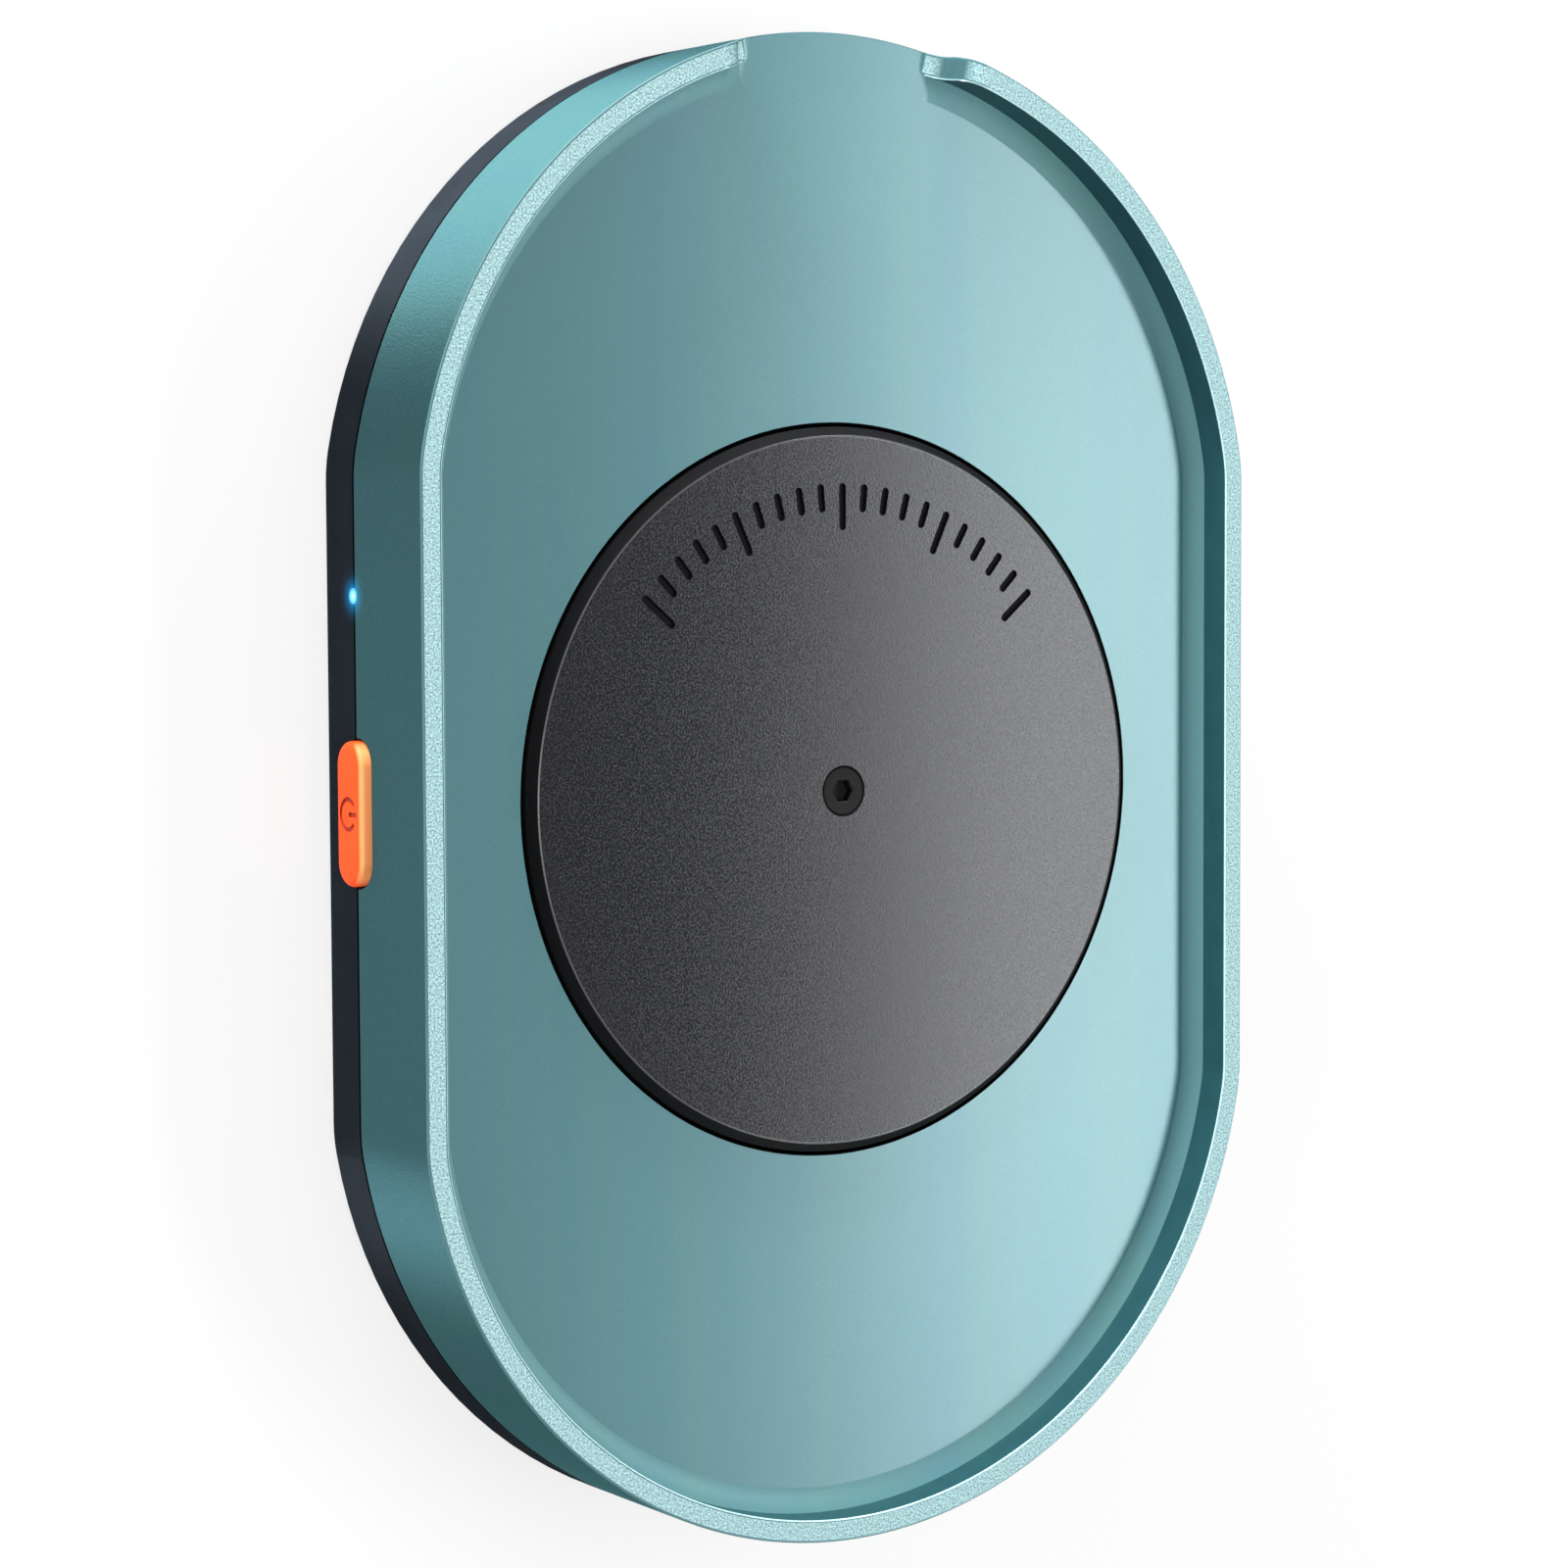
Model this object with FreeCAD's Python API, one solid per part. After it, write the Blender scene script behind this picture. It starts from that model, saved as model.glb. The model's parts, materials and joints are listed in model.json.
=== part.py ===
import FreeCAD, Part
import math
import os

# Mouse jiggler: a shallow tray that a computer mouse stands in, with a turntable in the tray's
# floor. Millimetres, +Z up. The origin is on the surface that the feet stand on, below the
# turntable's axis. +Y points to the end with the mouse cable's notch and the power port.

V = FreeCAD.Vector

# ---------------------------------------------------------------- driving dimensions

# Housing outline, seen from above
length = 120.0
width = 79.0
end_bulge = 0.4          # how much an end's radius exceeds half the width
corner_radius = 14.0     # blend where an end meets a straight side

# Housing heights and walls
foot_stand = 0.6         # feet below the base
base_height = 4.9        # base's lower edge to the seam
shell_height = 10.5      # seam to the rim's top
tray_depth = 3.3         # rim's top to the deck
deck_thickness = 1.8
floor_thickness = 1.2
wall = 1.8
rim_wall = 1.8
rim_chamfer = 0.25
base_edge_chamfer = 0.5
seam_chamfer = 0.12
lip_height = 1.1         # base's tongue inside the shell's wall
lip_thickness = 0.8
lip_clearance = 0.1

# Mouse cable's notch in the rim
notch_floor_width = 16.8
notch_top_width = 25.0

# Turntable and its recess in the deck
disc_radius = 29.0
disc_thickness = 1.65
disc_edge_chamfer = 0.75
disc_lift = 0.6          # disc's underside above the recess's floor
recess_gap = 0.25        # around the disc
recess_depth = 1.4
recess_floor_thickness = 1.2
recess_skirt = 1.8       # recess's wall, seen from inside

# Graduation engraved in the disc
tick_count = 21
tick_span = 100.0        # degrees, centred on +Y
tick_width = 0.6
tick_depth = 0.25
tick_outer_radius = 24.5
major_tick_length = 3.7
minor_tick_length = 2.2
major_tick_every = 5

# Disc's countersunk screw
disc_screw_head_radius = 1.9
disc_screw_rim = 0.15
disc_screw_shank_radius = 1.0
disc_screw_length = 6.0
disc_screw_hex = 1.5     # across flats
disc_screw_hex_depth = 0.8
screw_end_room = 0.3     # tapped depth past a screw's end

# Spindle and its bearings
running_clearance = 0.03
end_play = 0.05
spindle_head_radius = 2.5
spindle_collar_radius = 3.4
spindle_seat_radius = 2.0
spindle_journal_radius = 1.5
spindle_hex = 3.4        # drive stub, across flats
spindle_hex_height = 0.45
hex_clearance = 0.02
upper_bush_wall = 1.0
upper_bush_flange_radius = 4.5
upper_bush_flange = 0.4
lower_bush_wall = 1.0
lower_bush_length = 2.4
washer_thickness = 0.4
washer_radius = 3.5
centre_post_radius = 4.5

# Gears
gear_face = 1.7
gear_headroom = 0.2      # upper gears to the recess's underside
gear_plane_gap = 0.3     # upper gears to lower gears and to the motor
pressure_angle = 20.0    # degrees
centre_allowance = 0.06  # centre distances beyond the pitch radii
output_module = 0.5
output_teeth = 60
output_pinion_teeth = 12
motor_module = 0.4
idler_teeth = 48
motor_pinion_teeth = 12
addendum = 0.9           # in modules
dedendum = 1.25
tooth_thinning = 0.12
output_hub_radius = 4.0
output_hub_drop = 1.15
web_hole_radius = 2.6
web_hole_count = 6
web_hole_circle = 9.2
idler_axle_radius = 0.75
idler_axle_socket = 0.8  # axle's depth in the shell
idler_post_radius = 2.2
idler_hub_radius = 1.7
idler_hub_drop = 0.2

# Stepper motor
motor_radius = 7.5
motor_height = 5.8
motor_can_wall = 0.5
motor_ear_thickness = 0.6
motor_ear_distance = 10.5
motor_ear_radius = 2.2
motor_ear_angle = 20.0   # degrees
motor_boss_radius = 2.0
motor_shaft_radius = 0.5
motor_bearing_radius = 1.5
motor_bearing_stand = 0.15
rotor_radius = 3.3
coil_inner_radius = 3.7
coil_gap = 0.3

# Wires from the motor to the board
wire_count = 4
wire_radius = 0.4
wire_bend_radius = 7.0
wire_pitch = 1.0         # at the motor
plug_pitch = 1.25        # at the board
wire_above_board = 1.3
terminal_width = 5.0
terminal_height = 2.8
terminal_reach = 10.4
terminal_offset = 4.4    # towards +Y from the motor's axis
wire_entry = 0.8

# Circuit board
board_lift = 1.0
board_thickness = 1.0
board_edge_gap = 1.7     # board to the housing's inner wall at -X
board_arm_width = 10.0
board_arm_start = -15.0
board_tube_gap = 0.3     # board's sides to the case screws' tubes
board_main_start = 22.0
board_tip_gap = 3.2      # board's tip to the housing's end
board_tip_half_width = 7.0
board_tip_slope = 2.8
board_shoulder = 10.8    # tip to where the main field has its full width
board_arm_joint = 6.0    # arm's overlap with the main field
board_inner_corner = 4.0
board_outer_corner = 2.0
board_screw_inset = 5.5
far_screw_advance = 3.0  # far screws' extra distance towards the tip
arm_screw_before_light = 7.5
port_rest_inset = 4.0    # rest under the port, from the board's tip
post_radius = 2.1

# Plug and header for the motor's wires
header_width = 6.3
header_length = 4.2
header_height = 3.0
header_wall = 0.5
plug_length = 4.4
plug_insert = 2.6
plug_clearance = 0.05
header_from_board_edge = 5.5

# Power button and its switch
button_length = 11.1
button_height = 3.8
button_y = -0.5
button_above_seam = 0.3
button_proud = 0.9
button_travel = 0.6
button_gap = 0.12
button_edge = 0.45
button_flange_rim = 0.7
button_flange_thickness = 0.7
button_stem_radius = 1.2
mark_radius = 1.15
mark_line = 0.32
mark_depth = 0.15
mark_opening = 76.0      # degrees of the ring left open
switch_length = 4.7
switch_depth = 3.4
switch_height = 3.5
switch_from_board_edge = 1.6
plunger_radius = 0.9
plunger_reach = 0.8
plunger_guide = 1.6
cover_thickness = 0.15

# Status light
led_y = 16.0
led_below_seam = 0.2
light_pipe_radius = 0.6
light_pipe_collar = 0.5
light_pipe_collar_thickness = 0.8
led_length = 2.8
led_depth = 1.4
led_height = 2.4
led_from_board_edge = 0.6

# Power port, USB-C receptacle
port_width = 8.94
port_height = 3.16
port_length = 7.3
port_wall = 0.3
port_set_back = 0.5      # behind the housing's end
port_clearance = 0.2
tongue_width = 6.69
tongue_thickness = 0.7
tongue_set_back = 1.2
tongue_base_depth = 1.8

# Chips and small parts on the board: sizes along X, along Y and upwards
chip_foot = 0.7          # leads' reach beyond a chip's body
chip_stand = 0.1
controller_length = 6.5
controller_depth = 4.4
controller_height = 1.2
controller_lead_count = 10   # on each side
controller_lead_pitch = 0.65
controller_set_back = 1.4
driver_length = 5.0
driver_depth = 4.0
driver_height = 1.4
driver_lead_count = 4
driver_lead_pitch = 1.27
driver_after_light = 4.5
regulator_length = 3.0
regulator_depth = 1.6
regulator_height = 1.1
regulator_lead_count = 3
regulator_lead_pitch = 0.95
regulator_x = 11.5
regulator_after_controller = 10.0
crystal_length = 3.2
crystal_depth = 1.5
crystal_height = 0.8
crystal_x = 8.1
crystal_before_controller = 2.7
capacitor_length = 1.6
capacitor_depth = 0.9
capacitor_height = 0.9
capacitor_spacing = 3.0
capacitor_row_x = 8.0    # towards -X
capacitor_row_before_controller = 8.0
port_capacitor_spacing = 2.6
port_capacitor_x = 9.5   # towards -X
port_capacitor_after_controller = 11.0
resistor_length = 1.6
resistor_depth = 0.8
resistor_height = 0.5
resistor_spacing = 2.4
resistor_row_x = 2.5     # towards -X
resistor_row_before_controller = 8.5
light_resistor_offset = 3.0
light_resistor_spacing = 2.0

# Screws and feet
case_screw_inset = 14.0  # from the side wall
case_screw_end_inset = 18.5
case_screw_shank_radius = 1.0
case_screw_head_radius = 2.0
case_screw_head_height = 1.3
case_screw_sink = 0.6    # head below the base's underside
case_screw_length = 7.0
case_tube_above_seam = 0.3
case_tube_radius = 3.2
shell_boss_radius = 2.8
small_screw_shank_radius = 0.8
small_screw_head_radius = 1.55
small_screw_head_height = 0.9
motor_screw_length = 3.2
board_screw_length = 2.3
small_screw_room = 0.2   # pilot hole past the end of a motor or board screw
cross_slot_width = 0.35
foot_radius = 5.0
foot_thickness = 1.2
foot_inset = 11.5
foot_end_inset = 32.0
foot_edge = 0.25
floor_pad = 1.0          # extra floor above each foot's pocket

fit_gap = 0.05           # seats that are neither pressed nor running

# ---------------------------------------------------------------- derived places

base_bottom = foot_stand
floor_top = base_bottom + floor_thickness
seam_z = base_bottom + base_height
rim_top = seam_z + shell_height
deck_top = rim_top - tray_depth
ceiling = deck_top - deck_thickness
recess_floor = deck_top - recess_depth
recess_underside = recess_floor - recess_floor_thickness
recess_radius = disc_radius + recess_gap
disc_bottom = recess_floor + disc_lift
disc_top = disc_bottom + disc_thickness

end_radius = width / 2 + end_bulge
end_y = length / 2 - end_radius
corner_x = width / 2 - corner_radius
corner_y = end_y + math.sqrt((end_radius - corner_radius) ** 2 - corner_x ** 2)

upper_gear_top = recess_underside - gear_headroom
upper_gear_bottom = upper_gear_top - gear_face
lower_gear_top = upper_gear_bottom - gear_plane_gap
lower_gear_bottom = lower_gear_top - gear_face
output_hub_bottom = lower_gear_bottom - output_hub_drop
washer_top = output_hub_bottom - end_play
centre_post_top = washer_top - washer_thickness
idler_y = -output_module * (output_teeth + output_pinion_teeth) / 2 - centre_allowance
idler_hub_bottom = lower_gear_bottom - idler_hub_drop
idler_post_top = idler_hub_bottom - end_play
idler_post_socket = (floor_top + idler_post_top) / 2 - 1.0
motor_y = idler_y - motor_module * (idler_teeth + motor_pinion_teeth) / 2 - centre_allowance
motor_top = upper_gear_bottom - gear_plane_gap
motor_bottom = motor_top - motor_height
motor_ear_bottom = motor_top - motor_ear_thickness

board_bottom = floor_top + board_lift
board_top = board_bottom + board_thickness
board_left = -width / 2 + wall + board_edge_gap
board_tip = length / 2 - board_tip_gap
board_arm_x = board_left + board_arm_width / 2

inner_wall_x = -width / 2 + wall
button_z = seam_z + button_above_seam
flange_outer_x = inner_wall_x + end_play
flange_inner_x = flange_outer_x + button_flange_thickness
switch_face_x = board_left + switch_from_board_edge
plunger_tip_x = switch_face_x - plunger_reach
led_z = seam_z - led_below_seam
led_face_x = board_left + led_from_board_edge

port_mouth_y = length / 2 - port_set_back
port_z = board_top + port_height / 2
wire_z = board_top + wire_above_board
controller_y = (board_main_start + board_tip) / 2 - controller_set_back
header_x = board_left + header_from_board_edge
header_start = board_arm_start
plug_start = header_start - plug_length + plug_insert

case_screw_x = width / 2 - case_screw_inset
case_screw_y = length / 2 - case_screw_end_inset
board_main_half_width = case_screw_x - case_tube_radius - board_tube_gap
case_screw_seat = base_bottom + case_screw_sink + case_screw_head_height
case_tube_top = seam_z + case_tube_above_seam
foot_x = width / 2 - foot_inset
foot_y = length / 2 - foot_end_inset

# ---------------------------------------------------------------- shape helpers


def box(x0, x1, y0, y1, z0, z1):
    return Part.makeBox(x1 - x0, y1 - y0, z1 - z0, V(x0, y0, z0))


def cylinder(radius, bottom, top, x=0.0, y=0.0):
    return Part.makeCylinder(radius, top - bottom, V(x, y, bottom))


def tube(outer, inner, bottom, top, x=0.0, y=0.0):
    return cylinder(outer, bottom, top, x, y).cut(cylinder(inner, bottom, top, x, y))


def cylinder_x(radius, x0, x1, y, z):
    return Part.makeCylinder(radius, x1 - x0, V(x0, y, z), V(1, 0, 0))


def prism(points, push):
    """A straight-sided outline swept along the vector push."""
    wire = Part.makePolygon(points + [points[0]])
    return Part.Face(wire).extrude(push)


def hexagon(across_flats, bottom, top):
    radius = across_flats / math.sqrt(3)
    corners = [V(radius * math.cos(math.radians(60 * i)), radius * math.sin(math.radians(60 * i)), bottom)
               for i in range(6)]
    return prism(corners, V(0, 0, top - bottom))


def pill(centre, along, across, long_size, short_size, push):
    """A slot-shaped block: round ends, long side along one direction, swept by push."""
    r = short_size / 2
    reach = along * (long_size / 2 - r)
    side = across * r
    tip = along * r
    a, b = centre + reach - side, centre + reach + side
    c, d = centre - reach + side, centre - reach - side
    edges = [
        Part.Arc(a, centre + reach + tip, b).toShape(),
        Part.LineSegment(b, c).toShape(),
        Part.Arc(c, centre - reach - tip, d).toShape(),
        Part.LineSegment(d, a).toShape(),
    ]
    return Part.Face(Part.Wire(edges)).extrude(push)


def housing_outline(inset, z):
    """The housing's outline from above, moved inwards: two sides, two round ends, blended."""
    side = width / 2 - inset
    blend = corner_radius - inset
    end = end_radius - inset
    turn = math.atan2(corner_y - end_y, corner_x)

    def on_corner(sx, sy, angle):
        return V(sx * (corner_x + blend * math.cos(angle)), sy * (corner_y + blend * math.sin(angle)), z)

    def on_end(sx, sy, angle):
        return V(sx * end * math.cos(angle), sy * (end_y + end * math.sin(angle)), z)

    edges = []
    for sx in (1, -1):
        edges.append(Part.LineSegment(V(sx * side, -corner_y, z), V(sx * side, corner_y, z)).toShape())
        for sy in (1, -1):
            start, middle = on_corner(sx, sy, 0), on_corner(sx, sy, turn / 2)
            edges.append(Part.Arc(start, middle, on_corner(sx, sy, turn)).toShape())
    for sy in (1, -1):
        top = V(0, sy * (end_y + end), z)
        edges.append(Part.Arc(on_end(1, sy, turn), top, on_end(-1, sy, turn)).toShape())
    return Part.Wire(Part.__sortEdges__(edges))


def housing_block(inset, bottom, top):
    return Part.Face(housing_outline(inset, bottom)).extrude(V(0, 0, top - bottom))


def chamfer_at(shape, z, size):
    """Chamfer the edges that lie in the plane at height z."""
    flat = [e for e in shape.Edges
            if abs(e.BoundBox.ZMin - z) < 1e-6 and abs(e.BoundBox.ZMax - z) < 1e-6]
    return shape.makeChamfer(size, flat)


def one_solid(shape):
    """The shape's single solid, with faces that continue each other joined."""
    return shape.removeSplitter().Solids[0]


def at_corners(x, y):
    return [(sx * x, sy * y) for sx in (-1, 1) for sy in (-1, 1)]


def polar(radius, degrees):
    return radius * math.cos(math.radians(degrees)), radius * math.sin(math.radians(degrees))


# ---------------------------------------------------------------- gears


def involute(angle):
    return math.tan(angle) - angle


def gear_blank(module, teeth, bottom, top, tooth_at):
    """A spur gear about the Z axis, with a tooth centred on the direction tooth_at in degrees."""
    pitch_radius = module * teeth / 2
    base_radius = pitch_radius * math.cos(math.radians(pressure_angle))
    tip_radius = pitch_radius + addendum * module
    root_radius = pitch_radius - dedendum * module
    half_at_pitch = math.pi / (2 * teeth) - tooth_thinning * module / (2 * pitch_radius)
    flank_radii = [root_radius, max(base_radius, root_radius), pitch_radius, tip_radius]

    def half_angle(radius):
        slope = math.acos(min(1.0, base_radius / radius))
        return half_at_pitch + involute(math.radians(pressure_angle)) - involute(slope)

    points = []
    for tooth in range(teeth):
        centre = math.radians(tooth_at) + 2 * math.pi * tooth / teeth
        for radius in flank_radii:
            angle = centre - half_angle(radius)
            points.append(V(radius * math.cos(angle), radius * math.sin(angle), bottom))
        for radius in reversed(flank_radii):
            angle = centre + half_angle(radius)
            points.append(V(radius * math.cos(angle), radius * math.sin(angle), bottom))
    return prism(points, V(0, 0, top - bottom))


def moved(shape, x, y):
    copy = shape.copy()
    copy.translate(V(x, y, 0))
    return copy


def output_gear():
    """Large gear on the spindle, one tooth towards the idler at -Y, with a lightened web."""
    gear = gear_blank(output_module, output_teeth, lower_gear_bottom, lower_gear_top, -90)
    gear = gear.fuse(cylinder(output_hub_radius, output_hub_bottom, lower_gear_top))
    for i in range(web_hole_count):
        x, y = polar(web_hole_circle, 360 * i / web_hole_count)
        gear = gear.cut(cylinder(web_hole_radius, lower_gear_bottom, lower_gear_top, x, y))
    return one_solid(gear.cut(cylinder(spindle_seat_radius, output_hub_bottom, lower_gear_top)))


def idler_gear():
    """Two gears moulded in one: the small one drives the output gear, the motor drives the large."""
    gap_to_output = 90 + 180 / output_pinion_teeth
    small = gear_blank(output_module, output_pinion_teeth,
                       lower_gear_bottom, upper_gear_bottom, gap_to_output)
    large = gear_blank(motor_module, idler_teeth, upper_gear_bottom, upper_gear_top, -90)
    hub = cylinder(idler_hub_radius, idler_hub_bottom, upper_gear_top)
    gear = small.fuse(large).fuse(hub)
    bore = cylinder(idler_axle_radius + running_clearance, idler_hub_bottom, upper_gear_top)
    return moved(one_solid(gear.cut(bore)), 0, idler_y)


def motor_pinion():
    gap_to_idler = 90 + 180 / motor_pinion_teeth
    gear = gear_blank(motor_module, motor_pinion_teeth, upper_gear_bottom, upper_gear_top, gap_to_idler)
    gear = gear.cut(cylinder(motor_shaft_radius, upper_gear_bottom, upper_gear_top))
    return moved(gear, 0, motor_y)


# ---------------------------------------------------------------- housing


def button_slot():
    return pill(V(-width / 2 - 1, button_y, button_z), V(0, 1, 0), V(0, 0, 1),
                button_length + 2 * button_gap, button_height + 2 * button_gap, V(wall + 2, 0, 0))


def light_pipe_hole():
    return cylinder_x(light_pipe_radius, -width / 2 - 1, inner_wall_x + 1, led_y, led_z)


def port_opening():
    return pill(V(0, length / 2 + 1, port_z), V(1, 0, 0), V(0, 0, 1),
                port_width + 2 * port_clearance, port_height + 2 * port_clearance, V(0, -port_length, 0))


def cut_side_openings(shape):
    return shape.cut(button_slot()).cut(light_pipe_hole()).cut(port_opening())


def notch_cutter():
    """What the notch takes out of the rim: flat at the deck, with an S-shaped ramp each side."""
    low_x, high_x = notch_floor_width / 2, notch_top_width / 2
    half_run = (high_x - low_x) / 2
    half_rise = tray_depth / 2
    bend = (half_run ** 2 + half_rise ** 2) / (2 * half_rise)
    half_turn = math.asin(half_run / bend) / 2
    bend_run, bend_rise = bend * math.sin(half_turn), bend * (1 - math.cos(half_turn))
    y = end_y

    def ramp(side):
        low = V(side * low_x, y, deck_top)
        low_arc = V(side * (low_x + bend_run), y, deck_top + bend_rise)
        middle = V(side * (low_x + half_run), y, deck_top + half_rise)
        high_arc = V(side * (high_x - bend_run), y, rim_top - bend_rise)
        high = V(side * high_x, y, rim_top)
        return [Part.Arc(low, low_arc, middle).toShape(), Part.Arc(middle, high_arc, high).toShape()]

    above = rim_top + 1
    roof = [V(high_x, y, rim_top), V(high_x, y, above), V(-high_x, y, above), V(-high_x, y, rim_top)]
    edges = ramp(1) + ramp(-1)
    edges.append(Part.LineSegment(V(-low_x, y, deck_top), V(low_x, y, deck_top)).toShape())
    for start, end in zip(roof, roof[1:]):
        edges.append(Part.LineSegment(start, end).toShape())
    face = Part.Face(Part.Wire(Part.__sortEdges__(edges)))
    return face.extrude(V(0, length / 2 - y + 1, 0))


def top_shell():
    """Tray, deck with the turntable's recess, and the side wall down to the seam."""
    block = chamfer_at(housing_block(0, seam_z, rim_top), rim_top, rim_chamfer)
    block = chamfer_at(block, seam_z, seam_chamfer)
    tray = housing_block(rim_wall, deck_top, rim_top)
    mouth = housing_block(rim_wall - rim_chamfer, rim_top - rim_chamfer, rim_top + 1)
    mouth = chamfer_at(mouth, rim_top - rim_chamfer, rim_chamfer)
    shell = block.cut(tray).cut(mouth)
    inside = housing_block(wall, seam_z, ceiling)
    recess_boss = cylinder(recess_radius + recess_skirt, recess_underside, ceiling)
    inside = inside.cut(recess_boss)
    tongue_room = housing_block(wall - lip_thickness - lip_clearance,
                                seam_z, seam_z + lip_height + lip_clearance)
    shell = shell.cut(inside).cut(tongue_room)
    shell = shell.cut(cylinder(recess_radius, recess_floor, deck_top))
    shell = shell.cut(cylinder(spindle_head_radius + running_clearance + upper_bush_wall,
                               recess_underside, recess_floor))
    shell = shell.cut(cylinder(idler_axle_radius, recess_underside, recess_underside + idler_axle_socket,
                               0, idler_y))
    shell = shell.cut(notch_cutter())
    screw_end = case_screw_seat + case_screw_length + screw_end_room
    for x, y in at_corners(case_screw_x, case_screw_y):
        shell = shell.fuse(cylinder(shell_boss_radius, case_tube_top + fit_gap, ceiling, x, y))
        shell = shell.cut(cylinder(case_screw_shank_radius, case_tube_top, screw_end, x, y))
    return one_solid(cut_side_openings(shell))


def base_cover():
    """Dark pan that closes the housing from below and carries everything inside."""
    pan = housing_block(0, base_bottom, seam_z)
    pan = chamfer_at(pan, base_bottom, base_edge_chamfer)
    pan = chamfer_at(pan, seam_z, seam_chamfer)
    pan = pan.fuse(housing_block(wall - lip_thickness, seam_z - 1, seam_z + lip_height))
    pan = pan.cut(housing_block(wall, floor_top, seam_z + lip_height))
    pan = cut_side_openings(pan)
    pan = pan.fuse(cylinder(centre_post_radius, floor_top, centre_post_top))
    pan = pan.fuse(cylinder(idler_post_radius, floor_top, idler_post_top, 0, idler_y))
    pan = pan.fuse(cylinder(motor_radius, floor_top, motor_bottom, 0, motor_y))
    for x, y in motor_ear_places():
        pan = pan.fuse(cylinder(motor_boss_radius, floor_top, motor_ear_bottom, x, y))
        hole_end = motor_top - motor_screw_length - small_screw_room
        pan = pan.cut(cylinder(small_screw_shank_radius, hole_end, motor_ear_bottom, x, y))
    for x, y in board_post_places():
        pan = pan.fuse(cylinder(post_radius, floor_top, board_bottom, x, y))
    for x, y in board_screw_places():
        hole_end = board_top - board_screw_length - small_screw_room
        pan = pan.cut(cylinder(small_screw_shank_radius, hole_end, board_bottom, x, y))
    for x, y in at_corners(case_screw_x, case_screw_y):
        pan = pan.fuse(cylinder(case_tube_radius, floor_top, case_tube_top, x, y))
        pan = pan.cut(cylinder(case_screw_head_radius + 0.2, base_bottom, case_screw_seat, x, y))
        pan = pan.cut(cylinder(case_screw_shank_radius + 0.2, case_screw_seat, case_tube_top, x, y))
    for x, y in at_corners(foot_x, foot_y):
        pan = pan.fuse(cylinder(foot_radius + 1, floor_top, floor_top + floor_pad, x, y))
        pan = pan.cut(cylinder(foot_radius, base_bottom, foot_thickness, x, y))
    pan = pan.cut(cylinder(spindle_journal_radius + running_clearance + lower_bush_wall,
                           centre_post_top - lower_bush_length, centre_post_top))
    pan = pan.cut(cylinder(idler_axle_radius, idler_post_socket, idler_post_top, 0, idler_y))
    return one_solid(pan)


def rubber_feet():
    feet = []
    for x, y in at_corners(foot_x, foot_y):
        foot = cylinder(foot_radius, 0, foot_thickness, x, y)
        feet.append(chamfer_at(foot, 0, foot_edge))
    return Part.makeCompound(feet)


# ---------------------------------------------------------------- turntable


def disc_ticks():
    """Radial slots of the graduation, cut into the disc's top."""
    ticks = []
    for i in range(tick_count):
        is_major = i % major_tick_every == 0
        tick_length = major_tick_length if is_major else minor_tick_length
        start = tick_outer_radius - tick_length
        half = tick_width / 2
        slot = box(-half, half, start, tick_outer_radius, disc_top - tick_depth, disc_top + 1)
        slot.rotate(V(0, 0, 0), V(0, 0, 1), tick_span / 2 - tick_span * i / (tick_count - 1))
        ticks.append(slot)
    return Part.makeCompound(ticks)


def screw_cone_end():
    """Height where the countersunk head has narrowed to the shank."""
    return disc_top - disc_screw_rim - (disc_screw_head_radius - disc_screw_shank_radius)


def countersunk_body(radius_gap, top):
    rim_bottom = disc_top - disc_screw_rim
    rim = cylinder(disc_screw_head_radius + radius_gap, rim_bottom, top)
    cone = Part.makeCone(disc_screw_shank_radius, disc_screw_head_radius, rim_bottom - screw_cone_end(),
                         V(0, 0, screw_cone_end()))
    return rim.fuse(cone)


def turntable_disc():
    disc = cylinder(disc_radius, disc_bottom, disc_top)
    disc = chamfer_at(disc, disc_top, disc_edge_chamfer)
    disc = disc.cut(disc_ticks())
    disc = disc.cut(countersunk_body(fit_gap, disc_top + 1))
    disc = disc.cut(cylinder(disc_screw_shank_radius + fit_gap, disc_bottom, disc_top))
    pocket_top = disc_bottom + spindle_hex_height + fit_gap
    return one_solid(disc.cut(hexagon(spindle_hex + 2 * hex_clearance, disc_bottom, pocket_top)))


def disc_screw():
    end = disc_top - disc_screw_length
    shank = cylinder(disc_screw_shank_radius, end, screw_cone_end())
    socket = hexagon(disc_screw_hex, disc_top - disc_screw_hex_depth, disc_top)
    return one_solid(countersunk_body(0, disc_top - fit_gap).fuse(shank).cut(socket))


def spindle():
    """Steel shaft that carries the disc: journals, a collar below the upper bush and a hex stub."""
    bottom = centre_post_top - lower_bush_length + 0.3
    shaft = cylinder(spindle_journal_radius, bottom, output_hub_bottom)
    shaft = shaft.fuse(cylinder(spindle_seat_radius, output_hub_bottom, lower_gear_top))
    shaft = shaft.fuse(cylinder(spindle_collar_radius, lower_gear_top, upper_gear_top))
    shaft = shaft.fuse(cylinder(spindle_head_radius, upper_gear_top, disc_bottom))
    shaft = shaft.fuse(hexagon(spindle_hex, disc_bottom, disc_bottom + spindle_hex_height))
    tapped_end = disc_top - disc_screw_length - screw_end_room
    tapped = cylinder(disc_screw_shank_radius, tapped_end, disc_bottom + spindle_hex_height)
    return one_solid(shaft.cut(tapped))


def upper_bush():
    bore = spindle_head_radius + running_clearance
    body = cylinder(bore + upper_bush_wall, recess_underside, recess_floor)
    flange = cylinder(upper_bush_flange_radius, recess_floor, recess_floor + upper_bush_flange)
    hole = cylinder(bore, recess_underside, recess_floor + upper_bush_flange)
    return one_solid(body.fuse(flange).cut(hole))


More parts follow.
